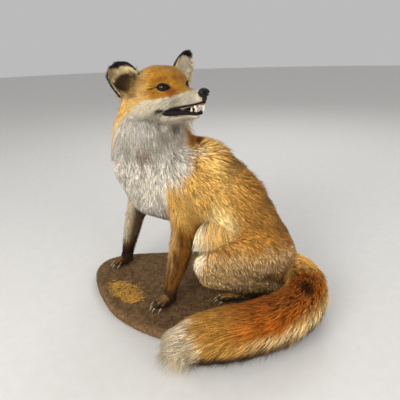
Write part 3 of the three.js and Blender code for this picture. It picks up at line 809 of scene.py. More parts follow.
claws = []
for heel, heading, reach, width, height in PAWS.values():
    ahead, aside = heading_ways(heading)
    for i in range(4):
        y = (i - 1.5) * width / 4 * 0.86 + (i - 1.5) * 1.56
        x = reach - (9 if i in (0, 3) else 0) - 5
        root = np.array([heel[0], heel[1], GROUND + height * 0.36]) + ahead * x + aside * y
        h = np.linspace(0, 1, 7)
        drop = -height * 0.30 * h**1.6 + 0.8 * np.sin(h * math.pi)
        path = root + ahead * (8.5 * h)[:, None] + np.array([0, 0, 1.0]) * drop[:, None]
        path += aside * ((i - 1.5) * 0.5 * h)[:, None]
        claws.append(tube(path * MM, (2.3 * (1 - h**1.5) + 0.25) * MM, 8, 0.7))
claw_object = mesh_object("claws", *joined(claws), "coat_dark")

# Whiskers in four rows on each side of the muzzle, swept back along the cheek.
whiskers = []
for s in SIGN.values():
    for row in range(4):
        for k in range(4 if row in (0, 3) else 5):
            root = (22.0 + 5.2 * k + 1.5 * row, (27.5 - 1.5 * k - 0.5 * row) * s, -21.5 - 3.2 * row + 1.2 * k)
            root = np.array(root)
            for _ in range(6):
                p = from_head_mm(root[None])
                root = root - in_head(HEAD_AT + slope_of(skin_at, p, MM)[0] * skin_at(p)[0]) / MM
            reach = rng.uniform(30, 52) * (1 - 0.09 * k)
            h = np.linspace(0, 1, 9)
            aim = unit([-0.62 + rng.uniform(-0.12, 0.12), 0.78 * s, -0.12 - 0.13 * row + rng.uniform(-0.06, 0.06)])
            path = root + aim * (reach * h)[:, None]
            path += np.array([-0.22, -0.10 * s, -0.16]) * (reach * h**2)[:, None]
            whiskers.append(tube(from_head_mm(path), (0.14 * (1 - h) + 0.05) * MM, 5))
whisker_object = mesh_object("whiskers", *joined(whiskers), "coat_dark")

# ------------------------------------------------------------------ materials


class Material:
    """A principled material built node by node."""

    def __init__(self, name, **plain):
        self.material = bpy.data.materials.new(name)
        self.material.use_nodes = True
        self.tree = self.material.node_tree
        self.shader = self.tree.nodes["Principled BSDF"]
        for key, value in plain.items():
            self.shader.inputs[key.replace("_", " ")].default_value = value

    def node(self, kind, inputs=None, **settings):
        made = self.tree.nodes.new("ShaderNode" + kind)
        for key, value in settings.items():
            setattr(made, key, value)
        for key, value in (inputs or {}).items():
            if isinstance(value, bpy.types.NodeSocket):
                self.tree.links.new(value, made.inputs[key])
            else:
                made.inputs[key].default_value = value
        return made

    def place(self, scale=(1, 1, 1)):
        coordinates = self.node("TexCoord").outputs["Object"]
        return self.node("Mapping", {"Vector": coordinates, "Scale": scale}).outputs["Vector"]

    def noise(self, scale, detail=3, rough=0.55, stretch=(1, 1, 1)):
        return self.node(
            "TexNoise", {"Vector": self.place(stretch), "Scale": scale, "Detail": detail, "Roughness": rough}
        ).outputs["Fac"]

    def cells(self, scale):
        return self.node("TexVoronoi", {"Vector": self.place(), "Scale": scale}, feature="F1").outputs["Distance"]

    def maths(self, operation, a, b):
        return self.node("Math", {0: a, 1: b}, operation=operation).outputs[0]

    def ramp(self, value, *stops):
        made = self.node("ValToRGB", {"Fac": value})
        ramp = made.color_ramp
        for i, (position, colour) in enumerate(stops):
            stop = ramp.elements[i] if i < 2 else ramp.elements.new(position)
            stop.position = position
            stop.color = (*colour, 1)
        return made.outputs["Color"]

    def multiplied(self, fac, a, b):
        """Colour a, multiplied by b as far as fac says."""
        return self.node("Mix", {0: fac, 6: a, 7: b}, data_type="RGBA", blend_type="MULTIPLY").outputs[2]

    def attribute(self, name):
        return self.node("Attribute", attribute_name=name).outputs["Color"]

    def base(self, colour):
        self.tree.links.new(colour, self.shader.inputs["Base Color"])

    def roughness(self, value, low, high):
        spread = self.node("MapRange", {"Value": value, "To Min": low, "To Max": high})
        self.tree.links.new(spread.outputs["Result"], self.shader.inputs["Roughness"])

    def bump(self, height, strength, distance):
        made = self.node("Bump", {"Height": height, "Strength": strength, "Distance": distance})
        self.tree.links.new(made.outputs["Normal"], self.shader.inputs["Normal"])

    def on(self, *things):
        for thing in things:
            thing.data.materials.clear()
            thing.data.materials.append(self.material)


def hair_material(name, flecked):
    made = Material(name, Specular_IOR_Level=0.12, Sheen_Weight=0.02, Sheen_Roughness=0.4)
    strand = made.noise(900, 2, 0.5)
    fleck = made.noise(400, 2, 0.6)
    patchy = made.noise(60, 3, 0.6)
    shade = made.ramp(strand, (0.25, (0.80, 0.79, 0.77)), (0.75, (1.12, 1.11, 1.09)))
    colour = made.multiplied(1.0, made.attribute("Coat"), shade)
    patches = made.ramp(patchy, (0.3, (0.82, 0.80, 0.77)), (0.7, (1.1, 1.1, 1.1)))
    colour = made.multiplied(0.5, colour, patches)
    specks = made.ramp(fleck, (0.36, (0.66, 0.62, 0.56)), (0.62, (1.22, 1.22, 1.22)))
    made.base(made.multiplied(flecked, colour, specks))
    made.roughness(strand, 0.46, 0.66)
    return made


hair = hair_material("fox_hair", 0.8)
face_hair = hair_material("fox_face_hair", 0.35)


def patterned(name, pattern, dark, pale, rough, bump=None, bumps=None, over_colours=False, **plain):
    """A material whose noise pattern goes from dark to pale, from smooth to rough and up and down."""
    made = Material(name, **plain)
    height = made.noise(*pattern)
    tone = made.ramp(height, dark, pale)
    made.base(made.multiplied(1.0, made.attribute("Coat"), tone) if over_colours else tone)
    made.roughness(height, *rough)
    if bump:
        made.bump(made.noise(bumps) if bumps else height, *bump)
    return made


underfur = patterned(
    "fox_skin", (420, 4, 0.6, (1, 1, 0.35)), (0.3, (0.62, 0.60, 0.57)), (0.7, (1.08, 1.07, 1.05)),
    (0.55, 0.8), (0.6, 0.0012), over_colours=True, Specular_IOR_Level=0.25, Sheen_Weight=0.1, Sheen_Roughness=0.5,
)

leather = Material("nose_leather", Specular_IOR_Level=0.22, Coat_Weight=0.04, Coat_Roughness=0.3)
pebbles = leather.cells(1150)
leather.base(leather.ramp(pebbles, (0.1, (0.012, 0.010, 0.009)), (0.7, (0.004, 0.0035, 0.003))))
leather.roughness(leather.noise(300), 0.42, 0.62)
leather.bump(pebbles, 0.5, 0.0005)

dark_skin = patterned(
    "lip_skin", (700, 4, 0.6), (0.3, (0.0045, 0.0035, 0.003)), (0.7, (0.012, 0.009, 0.008)),
    (0.5, 0.75), (0.5, 0.0004), Specular_IOR_Level=0.10,
)
flesh = patterned(
    "mouth_flesh", (260, 4), (0.3, (0.16, 0.030, 0.026)), (0.7, (0.33, 0.085, 0.07)),
    (0.25, 0.45), (0.4, 0.0004), bumps=1300,
    Specular_IOR_Level=0.5, Coat_Weight=0.6, Coat_Roughness=0.12, Subsurface_Weight=0.08,
    Subsurface_Radius=(0.004, 0.0015, 0.001),
)
ivory = patterned(
    "tooth_enamel", (320, 3, 0.5), (0.3, (0.66, 0.55, 0.37)), (0.7, (0.86, 0.80, 0.68)),
    (0.2, 0.38), (0.2, 0.0003), bumps=900, Specular_IOR_Level=0.5, Coat_Weight=0.4, Coat_Roughness=0.15,
)

glass = Material("eye_glass", Specular_IOR_Level=0.12, Coat_Weight=0.25, Coat_Roughness=0.02)
veins = glass.ramp(glass.noise(700), (0.3, (0.7, 0.7, 0.7)), (0.7, (1.2, 1.2, 1.2)))
glass.base(glass.multiplied(0.5, glass.attribute("Coat"), veins))
glass.roughness(glass.noise(500), 0.05, 0.09)

horn = patterned(
    "claw_horn", (500, 3, 0.6, (1, 1, 3)), (0.3, (0.12, 0.09, 0.06)), (0.75, (0.42, 0.34, 0.24)),
    (0.3, 0.5), (0.3, 0.0004), Specular_IOR_Level=0.4, Coat_Weight=0.05, Coat_Roughness=0.3,
)

earth = Material("dark_earth", Specular_IOR_Level=0.2)
clods = earth.noise(105, 6, 0.7)
crumbs = earth.cells(420)
soil = earth.ramp(clods, (0.32, (0.088, 0.047, 0.020)), (0.5, (0.194, 0.112, 0.048)), (0.70, (0.32, 0.20, 0.092)))
# Painted shade: darker away from each crumb, in the hollows between them.
crumb_gap_shade = earth.ramp(crumbs, (0.1, (1.25, 1.22, 1.18)), (0.6, (0.45, 0.43, 0.40)))
earth.base(earth.multiplied(0.7, soil, crumb_gap_shade))
earth.roughness(clods, 0.85, 1.0)
earth.bump(earth.maths("ADD", earth.maths("MULTIPLY", crumbs, -0.6), clods), 0.9, 0.0022)

dry_grass = patterned(
    "dry_straw", (380, 3), (0.3, (0.78, 0.74, 0.66)), (0.7, (1.15, 1.12, 1.05)),
    (0.5, 0.75), (0.3, 0.0004), over_colours=True, Specular_IOR_Level=0.3,
)
bristle = patterned(
    "whisker_hair", (800,), (0.3, (0.010, 0.008, 0.007)), (0.7, (0.028, 0.022, 0.018)),
    (0.35, 0.55), Specular_IOR_Level=0.3,
)

underfur.on(skin)
leather.on(nose)
dark_skin.on(lip_object, lid_rims)
flesh.on(gum_object, tongue)
ivory.on(teeth_object)
glass.on(*[bpy.data.objects["eye_glass_" + side] for side in SIDES])
horn.on(claw_object)
bristle.on(whisker_object)

# ------------------------------------------------------------------ markings

WAVE_CELLS = 24  # after which the noise repeats


def wave(p, size, seed):
    """Smooth noise between -1 and 1 with features of the given size."""
    n = WAVE_CELLS
    values = np.random.default_rng(seed).uniform(-1, 1, (n, n, n))
    g = p / size
    i = np.floor(g).astype(int)
    f = g - i
    return eight_corners(i, f * f * (3 - 2 * f), lambda x, y, z: values[x % n, y % n, z % n])


def srgb(*rgb):
    """Linear colour from display values of 0 to 255."""
    c = np.array(rgb) / 255
    return np.where(c <= 0.04045, c / 12.92, ((c + 0.055) / 1.055) ** 2.4)


RUST = srgb(190, 138, 46)
DEEP_RUST = srgb(156, 80, 16)
GOLD = srgb(228, 188, 108)
PALE_GOLD = srgb(228, 194, 124)
TAWNY = srgb(196, 146, 68)
AGOUTI = srgb(194, 142, 66)
BROWN = srgb(112, 72, 30)
UMBER = srgb(66, 40, 22)
BLACK = srgb(26, 20, 17)
GREY = srgb(182, 178, 172)
CREAM = srgb(224, 202, 156)
WHITE = srgb(232, 228, 218)
PINK = srgb(206, 168, 150)
LINING = srgb(120, 44, 40)


def mix(a, b, t):
    """Colour a where t is 0, b where it is 1."""
    return a + (b - a) * np.clip(np.asarray(t), 0, 1)[:, None]


def spot(p, at, size):
    """1 in the middle of an ellipsoid, 0 outside it."""
    return 1 - smooth(0.35, 1.0, np.linalg.norm((p - np.array(at)) / np.array(size), axis=1))


def dab(c, p, *patches):
    """Mixes in soft patches one after another: colour, middle, half axes and strength of each."""
    for colour, at, size, strength in patches:
        c = mix(c, colour, spot(p, at, size) * strength)
    return c


def even(colour, p):
    """One colour for all points."""
    return np.tile(colour, (len(p), 1))


def part_weights(p):
    """How much each node has to say at each point."""
    w = {name: np.exp(-np.maximum(field.at(p), 0) / (3 * MM)) for name, field in node_field.items()}
    whole = sum(w.values()) + 1e-9
    return {name: value / whole for name, value in w.items()}


TAIL_NODES = ("tail_1", "tail_2", "tail_3", "tail_tip")

# Middle line of the tail, root to tip, in millimetres of the row's frame.
TAIL_TURNS = np.array(
    [(-6, 206, 74), (26, 226, 68), (66, 226, 62), (106, 212, 58), (144, 182, 56), (174, 138, 55), (190, 88, 54),
     (200, 34, 52), (208, -14, 49), (214, -46, 41), (217, -70, 36)], float
)
TAIL_STEPS = 160
TAIL_LINE = smoothed(TAIL_TURNS, TAIL_STEPS + 1, 60)
TAIL_HEADING = unit(np.gradient(TAIL_LINE, axis=0))
AT_ONCE = 20000  # points compared with the line in one go, to spare memory


def tail_place(p):
    """Place along the tail (0 root, 1 tip), the way along it and the way out from its middle."""
    nearest = np.empty(len(p), int)
    for k in range(0, len(p), AT_ONCE):
        gap = p[k : k + AT_ONCE, None] - TAIL_LINE[None]
        nearest[k : k + AT_ONCE] = np.argmin((gap**2).sum(-1), 1)
    out = p - TAIL_LINE[nearest]
    way = TAIL_HEADING[nearest]
    out = unit(out - (out * way).sum(1, keepdims=True) * way + 1e-6)
    return nearest / TAIL_STEPS, way, out


# Root, tip and width of each ear in the head's axes.
EARS = {
    "left": (np.array([-50, 62, 22.0]), np.array([-60, 99, 65.0]), 52),
    "right": (np.array([-50, -64, 15.0]), np.array([-72, -78, 55.0]), 56),
}


def ear_frame(side):
    root, tip, width = EARS[side]
    axis = tip - root
    facing = np.array([0.9, 0.42 * SIGN[side], 0.12])
    facing = unit(facing - axis * (facing @ axis) / (axis @ axis))
    return root, axis, facing, unit(np.cross(axis, facing)) * SIGN[side], width


def ear_place(side, q):
    """Height up the ear (0 root, 1 tip), place across it (-1 inner, 1 outer edge) and the way it faces."""
    root, axis, facing, across, width = ear_frame(side)
    e = q - root
    h = e @ axis / (axis @ axis)
    half = width / 2 * np.sqrt(1 - np.clip(h, 0, 0.97) ** 2.6)
    return h, (e - h[:, None] * axis) @ across / half, facing


# Height at which the ear's inside turns black, from its inner edge (-1) to its outer edge (1).
EAR_BLACK = ([-1, -0.92, -0.8, -0.6, 0, 0.6, 1.0], [0.30, 0.45, 0.64, 0.76, 0.85, 0.92, 0.96])


def paint_ear(side, q, n):
    h, across, facing = ear_place(side, q)
    right = side == "right"  # the right ear's inside lies in shade, so it is painted darker
    ragged = wave(q, 7, 31) * 0.04 + wave(q, 3, 32) * 0.03
    back = mix(even(TAWNY, q), BLACK, smooth(0.06, 0.22, h + ragged))
    # Painted shade: the right ear's inside gets a duller pale than the lit left one.
    pale = srgb(202, 182, 138) if right else srgb(252, 242, 216)
    inside = mix(even(pale, q), PALE_GOLD * 0.8, smooth(0.3, 0.0, h) * 0.6)
    # Painted shade over the outer half of the ear's inside, strong on the right ear, faint on the left.
    outer_half_shade = smooth(-0.1, 0.5, across) * smooth(0.45, 0.7, h)
    inside = mix(inside, srgb(150, 122, 86), outer_half_shade * (0.8 if right else 0.2))
    inside = mix(inside, srgb(224, 206, 162), smooth(-0.2, -0.6, across) * smooth(0.25, 0.5, h) * 0.7)
    # Painted shade in the ear's hollow, deep on the right ear, faint on the left.
    hollow_shade = smooth(1.0, 0.7, np.hypot((h - 0.24) / 0.38, (across - 0.02) / 1.1) + ragged * 2)
    inside = mix(inside, srgb(44, 20, 3), hollow_shade * (0.97 if right else 0.12))
    tufted = smooth(0.72, 0.9, np.abs(across)) * smooth(0.8, 0.6, h)
    inside = mix(inside, srgb(222, 202, 160), tufted * 0.8)
    black_from = np.interp(across, *EAR_BLACK)
    inside = mix(inside, BLACK, smooth(-0.04, 0.04, h + ragged - black_from))
    if right:
        inside = mix(inside, BLACK, smooth(0.9, 0.99, across))
    return mix(back, inside, smooth(0.0, 0.35, n @ facing))


# Places along the side of the face, and the height there of the border between white and rust.
FACE_BORDER = (
    [-70, -54, -42, -34, -26, -12, 8, 22, 32, 44, 54, 66, 80],
    [-62, -42, -28, -21, -18.5, -19.5, -19.5, -20, -19, -16, -13, -9, -9],
)


def paint_face(q):
    x, y, z = q.T
    side = np.abs(y)
    ragged = wave(q, 6, 11) * 2.2 + wave(q, 2.5, 12) * 1.2
    c = even(RUST, q)
    c = mix(c, GOLD, smooth(-16, -50, x) * 0.75)
    c = mix(c, PALE_GOLD, smooth(-14, -36, x) * smooth(12, -14, z) * smooth(20, 40, side) * 0.85)
    for s in SIGN.values():
        c = dab(
            c, q,
            (DEEP_RUST, (16, 22 * s, -8), (20, 14, 15), 0.85),
            (DEEP_RUST, (-2, 24 * s, 14), (16, 12, 9), 0.55),
            (DEEP_RUST, (-22, 42 * s, -7), (16, 14, 6), 0.35),
            (srgb(150, 76, 18), (16, 8 * s, 14), (12, 8, 10), 0.6),
            (PALE_GOLD, (-34, 56 * s, 6), (22, 22, 12), 0.55),
        )
    c = dab(c, q, (TAWNY, (58, 0, -12), (22, 7, 9), 0.7))
    white = smooth(2.5, -2.5, z - np.interp(x, *FACE_BORDER) + ragged)
    white = np.maximum(white, smooth(-16, -22, z + ragged * 0.5) * smooth(30, 40, x))
    c = mix(c, srgb(216, 208, 188), white)
    # Painted shade: grey in the crease of the white, low on the back of the cheek.
    c = mix(c, GREY, white * smooth(-30, -50, x) * smooth(-30, -48, z) * 0.35)
    jaw = smooth(-50, -56, z) * smooth(-20, 0, x)
    c = mix(c, PINK, jaw * 0.3 * smooth(-64, -54, z))
    for name, s in SIGN.items():
        r, outside = eye_view(name, q)
        c = mix(c, BLACK, smooth(17, 12.5, r) * smooth(9, 3, outside))
        c = dab(
            c, q,
            (UMBER, (12.5, 14.5 * s, -10.5), (6.5, 5, 3.6), 0.9),
            (BLACK, (-8, 37 * s, 1.5), (8, 9, 3.0), 0.95),
            (UMBER, (-17, 43 * s, -0.5), (10, 9, 2.6), 0.85),
            (BROWN, (-27, 47 * s, -3), (9, 9, 2.0), 0.4),
            (srgb(120, 70, 34), (30, 18 * s, -17), (9, 8, 4), 0.55),
        )
        for row, k in np.ndindex(4, 7):  # whisker spots
            drift = 0.5 * math.sin(5.1 * row + 3.3 * k)
            at = (
                19 + 4.2 * k + 1.6 * row + drift,
                (28.5 - 1.5 * k - 0.4 * row) * s,
                -29.5 + 1.45 * k - 2.5 * row + 0.4 * drift,
            )
            c = dab(c, q, (UMBER, at, (1.6, 6, 1.0), 0.85))
        c = dab(c, q, (BLACK, (-8, 39 * s, -42.0), (16, 15, 6.0), 1))
    c = mix(c, BLACK, smooth(2.6, 1.2, nose_shape(q)))
    lip = smooth(2.5, 0.5, np.abs(z - jaw_top(x) - 1.5)) * smooth(-22, -14, x) * smooth(8, 16, side)
    c = mix(c, BLACK, lip * 0.8)
    return mix(c, LINING, inside_mouth(q))


# Middle of the neck and chest, and the two borders of the white bib as bearings from it (0 = +X, 90 = +Y).
BIB_LEVELS = [200, 240, 259, 279, 293, 316, 340, 357, 400, 440]
BIB_BACK = [22, 32, 32, 38, 48, 60, 74, 84, 96, 105]
BIB_FRONT = [-150, -140, -132, -120, -105, -86, -76, -78, -70, -34]
NECK_X = [-60, -60, -61, -62, -62, -60, -58, -56, -45, -30]
NECK_Y = [-75, -75, -76, -76, -75, -78, -84, -86, -84, -70]


def paint_body(p, n):
    x, y, z = p.T
    ragged = wave(p, 22, 3) + 0.6 * wave(p, 9, 4)
    c = even(GOLD, p)
    c = mix(c, AGOUTI, smooth(55, 120, y + ragged * 14) * 0.9)
    # The first patch is the pale gold of the lower flank, brightened past its own colour to make up for the shade
    # there: partly painted light.
    c = dab(
        c, p,
        (srgb(255, 234, 172), (34, 44, 182), (48, 56, 58), 0.95),
        (srgb(246, 212, 136), (-20, 42, 312), (44, 24, 52), 0.85),
    )
    spine = smooth(0.2, 0.9, n @ unit([0, 0.55, 0.83]))
    c = mix(c, BROWN, spine * 0.45 * smooth(20, 90, y + 10 * ragged))
    c = mix(c, BROWN, smooth(165, 215, y + ragged * 8) * 0.45)
    c = dab(c, p, (DEEP_RUST, (20, 205, 150), (50, 26, 50), 0.6), (RUST, (18, 20, 205), (34, 22, 40), 0.45))
    belly = smooth(0.3, 0.9, -n @ unit([0, -0.2, 1])) * smooth(200, 170, z)
    c = mix(c, CREAM, belly * 0.6)
    off_x, off_y = x - np.interp(z, BIB_LEVELS, NECK_X), y - np.interp(z, BIB_LEVELS, NECK_Y)
    bearing = np.degrees(np.arctan2(off_y, off_x))
    bearing = np.where(bearing < -170, bearing + 360, bearing)
    bib = smooth(7, -7, bearing - np.interp(z, BIB_LEVELS, BIB_BACK) + 4 * ragged)
    bib *= smooth(-7, 7, bearing - np.interp(z, BIB_LEVELS, BIB_FRONT) + 4 * ragged)
    bib *= smooth(172, 196, z + 6 * ragged + 0.25 * np.maximum(-y - 100, 0)) * smooth(60, 20, y)
    bib = np.where(z > 300, bib, bib * smooth(30, 4, y))
    # The brown collar is its own colour. The dark line at its edge (the second patch) is painted shade in the crease
    # where the ruff folds.
    c = dab(
        c, p,
        (srgb(158, 100, 36), (-66, 2, 352), (46, 30, 36), 0.95),
        (srgb(84, 48, 18), (-60, 16, 350), (32, 13, 24), 0.9),
        (srgb(120, 76, 30), (-6, 4, 312), (14, 10, 26), 0.6),
        (BROWN, (22, -2, 251), (9, 8, 10), 0.7),
        (BROWN, (32, -30, 240), (8, 9, 9), 0.6),
    )
    c = mix(c, WHITE, bib)
    c = mix(c, GREY * 0.85, bib * smooth(250, 330, z) * 0.55)
    c = mix(c, srgb(150, 140, 126), bib * smooth(0.0, 0.9, wave(p * [1, 1, 0.4], 8, 8)) * 0.5)
    c = mix(c, GREY, bib * smooth(300, 210, z) * 0.35)
    throat = (srgb(150, 126, 106), (14, -100, 328), (26, 22, 26), 0.6)
    # The last patch is a painted shadow under the chin.
    return dab(c, p, throat, (srgb(98, 86, 72), (-26, -34, 378), (26, 22, 14), 0.8))


def paint_hind(p):
    x, y, z = p.T
    ragged = wave(p, 16, 5) + 0.5 * wave(p, 6, 6)
    c = mix(even(AGOUTI, p), TAWNY, smooth(90, 30, y))
    # The pale gold of the lower flank, brightened to make up for the shade there: partly painted light.
    c = dab(c, p, (srgb(255, 234, 172), (34, 44, 182), (54, 56, 58), 0.9))
    c = mix(c, BROWN, smooth(120, 180, y + ragged * 10) * smooth(90, 150, z) * 0.4)
    c = mix(c, DEEP_RUST, smooth(170, 200, y + ragged * 8) * 0.6)
    c = mix(c, srgb(216, 188, 138), smooth(165, 120, z + ragged * 10) * 0.8)
    c = mix(c, srgb(214, 184, 134), smooth(92, 62, z + ragged * 6) * 0.6)
    front = np.maximum(spot(p, (90, -4, 142), (30, 26, 60)), spot(p, (-118, 6, 140), (26, 24, 50)))
    c = mix(c, srgb(240, 228, 198), front * 0.95)
    c = mix(c, CREAM, (np.abs(x + 8) < 30) * 0.3)
    # Painted shade: a brown line along the crease at the top of the thigh.
    crease_shade = np.exp(-(((y - 60) * 0.10 + (z - 150)) / 4) ** 2) * (np.abs(y - 60) < 26)
    return mix(c, BROWN, crease_shade * smooth(-0.2, 0.5, wave(p, 4, 9)) * 0.6)


def paint_foreleg(p, n, side):
    x, y, z = p.T
    ragged = wave(p, 12, 13) + 0.5 * wave(p, 5, 14)
    low = z + 8 * ragged
    c = even(mix(RUST[None], DEEP_RUST, [0.45])[0], p)
    c = mix(c, GOLD, smooth(175, 212, low) * 0.9)
    if side == "left":
        facing = n @ unit([0.55, -0.83, 0])
        c = mix(c, srgb(218, 174, 110), smooth(0.55, 0.8, facing + 0.15 * ragged) * smooth(70, 120, z) * 0.95)
        dark = np.exp(-(((facing + 0.12 * ragged - 0.48) / 0.22) ** 2))
        dark = dark * smooth(204, 160, z + 10 * ragged) * smooth(62, 92, z)
        mottling = 0.45 + 0.55 * smooth(-0.6, 0.3, wave(p, 11, 19) + 0.6 * wave(p, 4, 20))
        c = mix(c, srgb(44, 25, 12), dark * mottling * 0.95)
        inner = np.maximum(smooth(-54, -61, y + 3 * ragged), smooth(14, 4, x))
        c = mix(c, WHITE, inner * smooth(186, 200, z + 6 * ragged) * 0.95)
        c = mix(c, BLACK, smooth(0.9, 0.99, facing) * smooth(150, 110, low) * 0.7)
        c = dab(c, p, (srgb(84, 34, 12), (62, 0, 176), (16, 13, 20), 0.85))
        return mix(c, UMBER, smooth(70, 46, low) * 0.3)
    stripe = smooth(0.45, 0.9, n @ unit([0.1, -1, 0]) + 0.12 * ragged) * smooth(190, 150, low)
    c = mix(c, BLACK, stripe * 0.95)
    c = mix(c, srgb(236, 222, 190), smooth(0.1, 0.6, n @ unit([1, -0.2, 0])) * smooth(84, 104, low) * 0.9)
    c = mix(c, BROWN, smooth(0.2, 0.8, n @ unit([0.5, 1, 0])) * 0.8)
    c = mix(c, BLACK, smooth(92, 72, low) * 0.85)
    return mix(c, UMBER, smooth(70, 46, low) * 0.8)


def paint_foot(p, n):
    ragged = wave(p, 6, 15)
    c = even(srgb(56, 38, 24), p)
    # The tan on top of the toes, paler where they face up, is partly their own colour and partly painted highlight.
    top = smooth(0.35, 0.9, n[:, 2] + 0.45 * ragged) * smooth(31, 37, p[:, 2])
    c = mix(c, srgb(182, 138, 80), top * np.where(p[:, 1] > 0, 0.9, 0.65))
    for heel, heading, reach, width, _ in PAWS.values():
        e = p[:, :2] - np.array(heel)
        ahead, aside = (e @ way[:2] for way in heading_ways(heading))
        on_paw = smooth(reach - 30, reach - 20, ahead) * (ahead < reach + 8) * (np.abs(aside) < width)
        # Painted shade: black in the gaps between the toes.
        for i in (-1, 0, 1):
            gap = np.abs(aside - i * (width / 4 * 0.86 + 1.56))
            c = mix(c, BLACK, on_paw * smooth(2.6, 0.8, gap) * 0.9)
    return mix(c, BLACK, smooth(33, 27, p[:, 2]) * 0.8)


def paint_tail(p):
    s, _, out = tail_place(p)
    up = out[:, 2]
    ragged = wave(p, 14, 16) * 0.12 + wave(p, 6, 17) * 0.08
    c = even(srgb(178, 138, 72), p)
    pale_side = smooth(0.4, 0.05, up + ragged) * smooth(0.70, 0.52, s) * smooth(0.12, 0.22, s)
    c = mix(c, srgb(212, 188, 138), pale_side * 0.9)
    rust_from = np.interp(s, [0.2, 0.42, 0.55, 0.7, 0.8], [0.42, 0.50, 0.22, 0.2, 0.55])
    c = mix(c, srgb(160, 90, 20), smooth(-0.18, 0.22, up + ragged - rust_from) * smooth(0.16, 0.29, s + 0.3 * ragged))
    c = mix(c, srgb(112, 62, 20), smooth(0.7, 0.98, up + ragged) * 0.6 * smooth(0.22, 0.34, s))
    # Painted shade: umber and near black along the underside of the tail.
    c = mix(c, srgb(92, 62, 28), smooth(-0.05, -0.45, up + ragged * 0.6) * 0.85)
    c = mix(c, srgb(40, 28, 20), smooth(-0.30, -0.58, up + ragged * 0.6) * 0.92)
    c = mix(c, srgb(164, 124, 56), smooth(0.60, 0.74, s) * smooth(-0.45, -0.15, up) * 0.8)
    c = mix(c, srgb(255, 210, 118), smooth(0.21, 0.06, s) * 0.9)
    c = dab(c, p, (srgb(40, 22, 8), (138, 205, 106), (30, 24, 24), 0.95))
    tip = mix(even(srgb(188, 176, 152), p), srgb(116, 94, 68), smooth(0.1, 0.9, wave(p, 9, 18)) * 0.7)
    return mix(c, tip, smooth(0.79, 0.85, s + ragged * 0.2))


def paint(p, n):
    """Colour of the coat at points in metres with outward normals."""
    w = part_weights(p)
    q, qn, mm = in_head(p) / MM, n @ HEAD.T, p / MM
    layers = [
        (share_of(w, HEAD_NODES), lambda k: paint_face(q[k])),
        (share_of(w, ("neck", "trunk")), lambda k: paint_body(mm[k], n[k])),
    ]
    for side in SIDES:
        foreleg, foot, hind = (
            w[upper + side] + w[lower + side]
            for upper, lower in (("foreleg_upper_", "foreleg_lower_"), ("forepaw_", "hind_foot_"), ("thigh_", "shank_"))
        )
        layers += [
            (w["ear_" + side], lambda k, side=side: paint_ear(side, q[k], qn[k])),
            (foreleg, lambda k, side=side: paint_foreleg(mm[k], n[k], side)),
            (foot, lambda k: paint_foot(mm[k], n[k])),
            (hind, lambda k: paint_hind(mm[k])),
        ]
    layers.append((share_of(w, TAIL_NODES), lambda k: paint_tail(mm[k])))
    colour = np.zeros_like(p)
    for share, brush in layers:
        k = np.flatnonzero(share > 0.004)
        if len(k):
            colour[k] += share[k, None] * brush(k)
    return colour / np.maximum(sum(share for share, _ in layers), 1e-6)[:, None]


# ------------------------------------------------------------------ lie of the coat
def turning(a, b, t):
    """Direction that goes from a to b as t goes from 0 to 1."""
    return unit(np.array(a) * (1 - t) + np.array(b) * t)


def lie(p, n, w):
    """Direction that the hair points, before it is laid along the skin."""
    q, mm = in_head(p) / MM, p / MM
    x, y, z = halved(q)
    s = np.sign(q[:, 1])
    w = {name: share[:, None] for name, share in w.items()}
    cheek = smooth(10, -20, x) * smooth(10, -20, z) * smooth(14, 34, y)
    crown = smooth(-10, 15, z)
    jaw = smooth(-44, -52, z)
    face = np.stack([-1 + 0 * x, s * (0.12 + 0.45 * cheek), 0.12 * crown - 0.1 - 0.6 * cheek - 0.25 * jaw], 1)
    t = np.zeros_like(p)
    t += share_of(w, HEAD_NODES) * (unit(face) @ HEAD)
    for side in SIDES:
        root, axis, _, _, width = ear_frame(side)
        e = q - root
        spread = (e - (e @ axis / (axis @ axis))[:, None] * axis) / width
        t += w["ear_" + side] * (unit(unit(axis) + 0.5 * spread) @ HEAD)
    t += w["neck"] * unit(np.stack([0.1 * n[:, 0], 0.15 + 0.1 * n[:, 1], -np.ones(len(p))], 1))
    t += w["trunk"] * turning([0, 0.03, -1], [0, 0.66, -0.75], smooth(-70, 10, mm[:, 1])[:, None])
    fringe = smooth(40, 5, mm[:, 1])[:, None]
    for side, outwards in SIGN.items():
        t += w["foreleg_upper_" + side] * unit([0.05 * outwards, 0.12, -1])
        t += w["foreleg_lower_" + side] * unit([0, 0.05, -1])
        for limb, key in (("forepaw_", "fore_"), ("hind_foot_", "hind_")):
            ahead, _ = heading_ways(PAWS[key + side][1])
            t += w[limb + side] * unit([*ahead[:2], -0.35])
        t += w["thigh_" + side] * turning([0.1 * outwards, 0.45, -0.85], [0, -0.1, -1], fringe)
        t += w["shank_" + side] * unit([0, 0.55, -0.8])
    _, way, out = tail_place(mm)
    hang = smooth(0.8, 0.0, out[:, 2])[:, None]
    way = unit(way * (1 - 0.5 * hang) - np.array([0, 0, 1.0]) * (0.12 + 0.7 * hang) + 0.15 * out)
    return t + share_of(w, TAIL_NODES) * way


# Length of the hair, in millimetres.
HAIR_LENGTH = by_node(
    trunk=21, neck=33, head=14, lower_jaw=7, nose_pad=3, ear=6, foreleg_upper=(24, 22), foreleg_lower=(13, 12),
    forepaw=4, thigh=19, shank=19, hind_foot=7, tail_1=42, tail_2=54, tail_3=58, tail_tip=60,
)


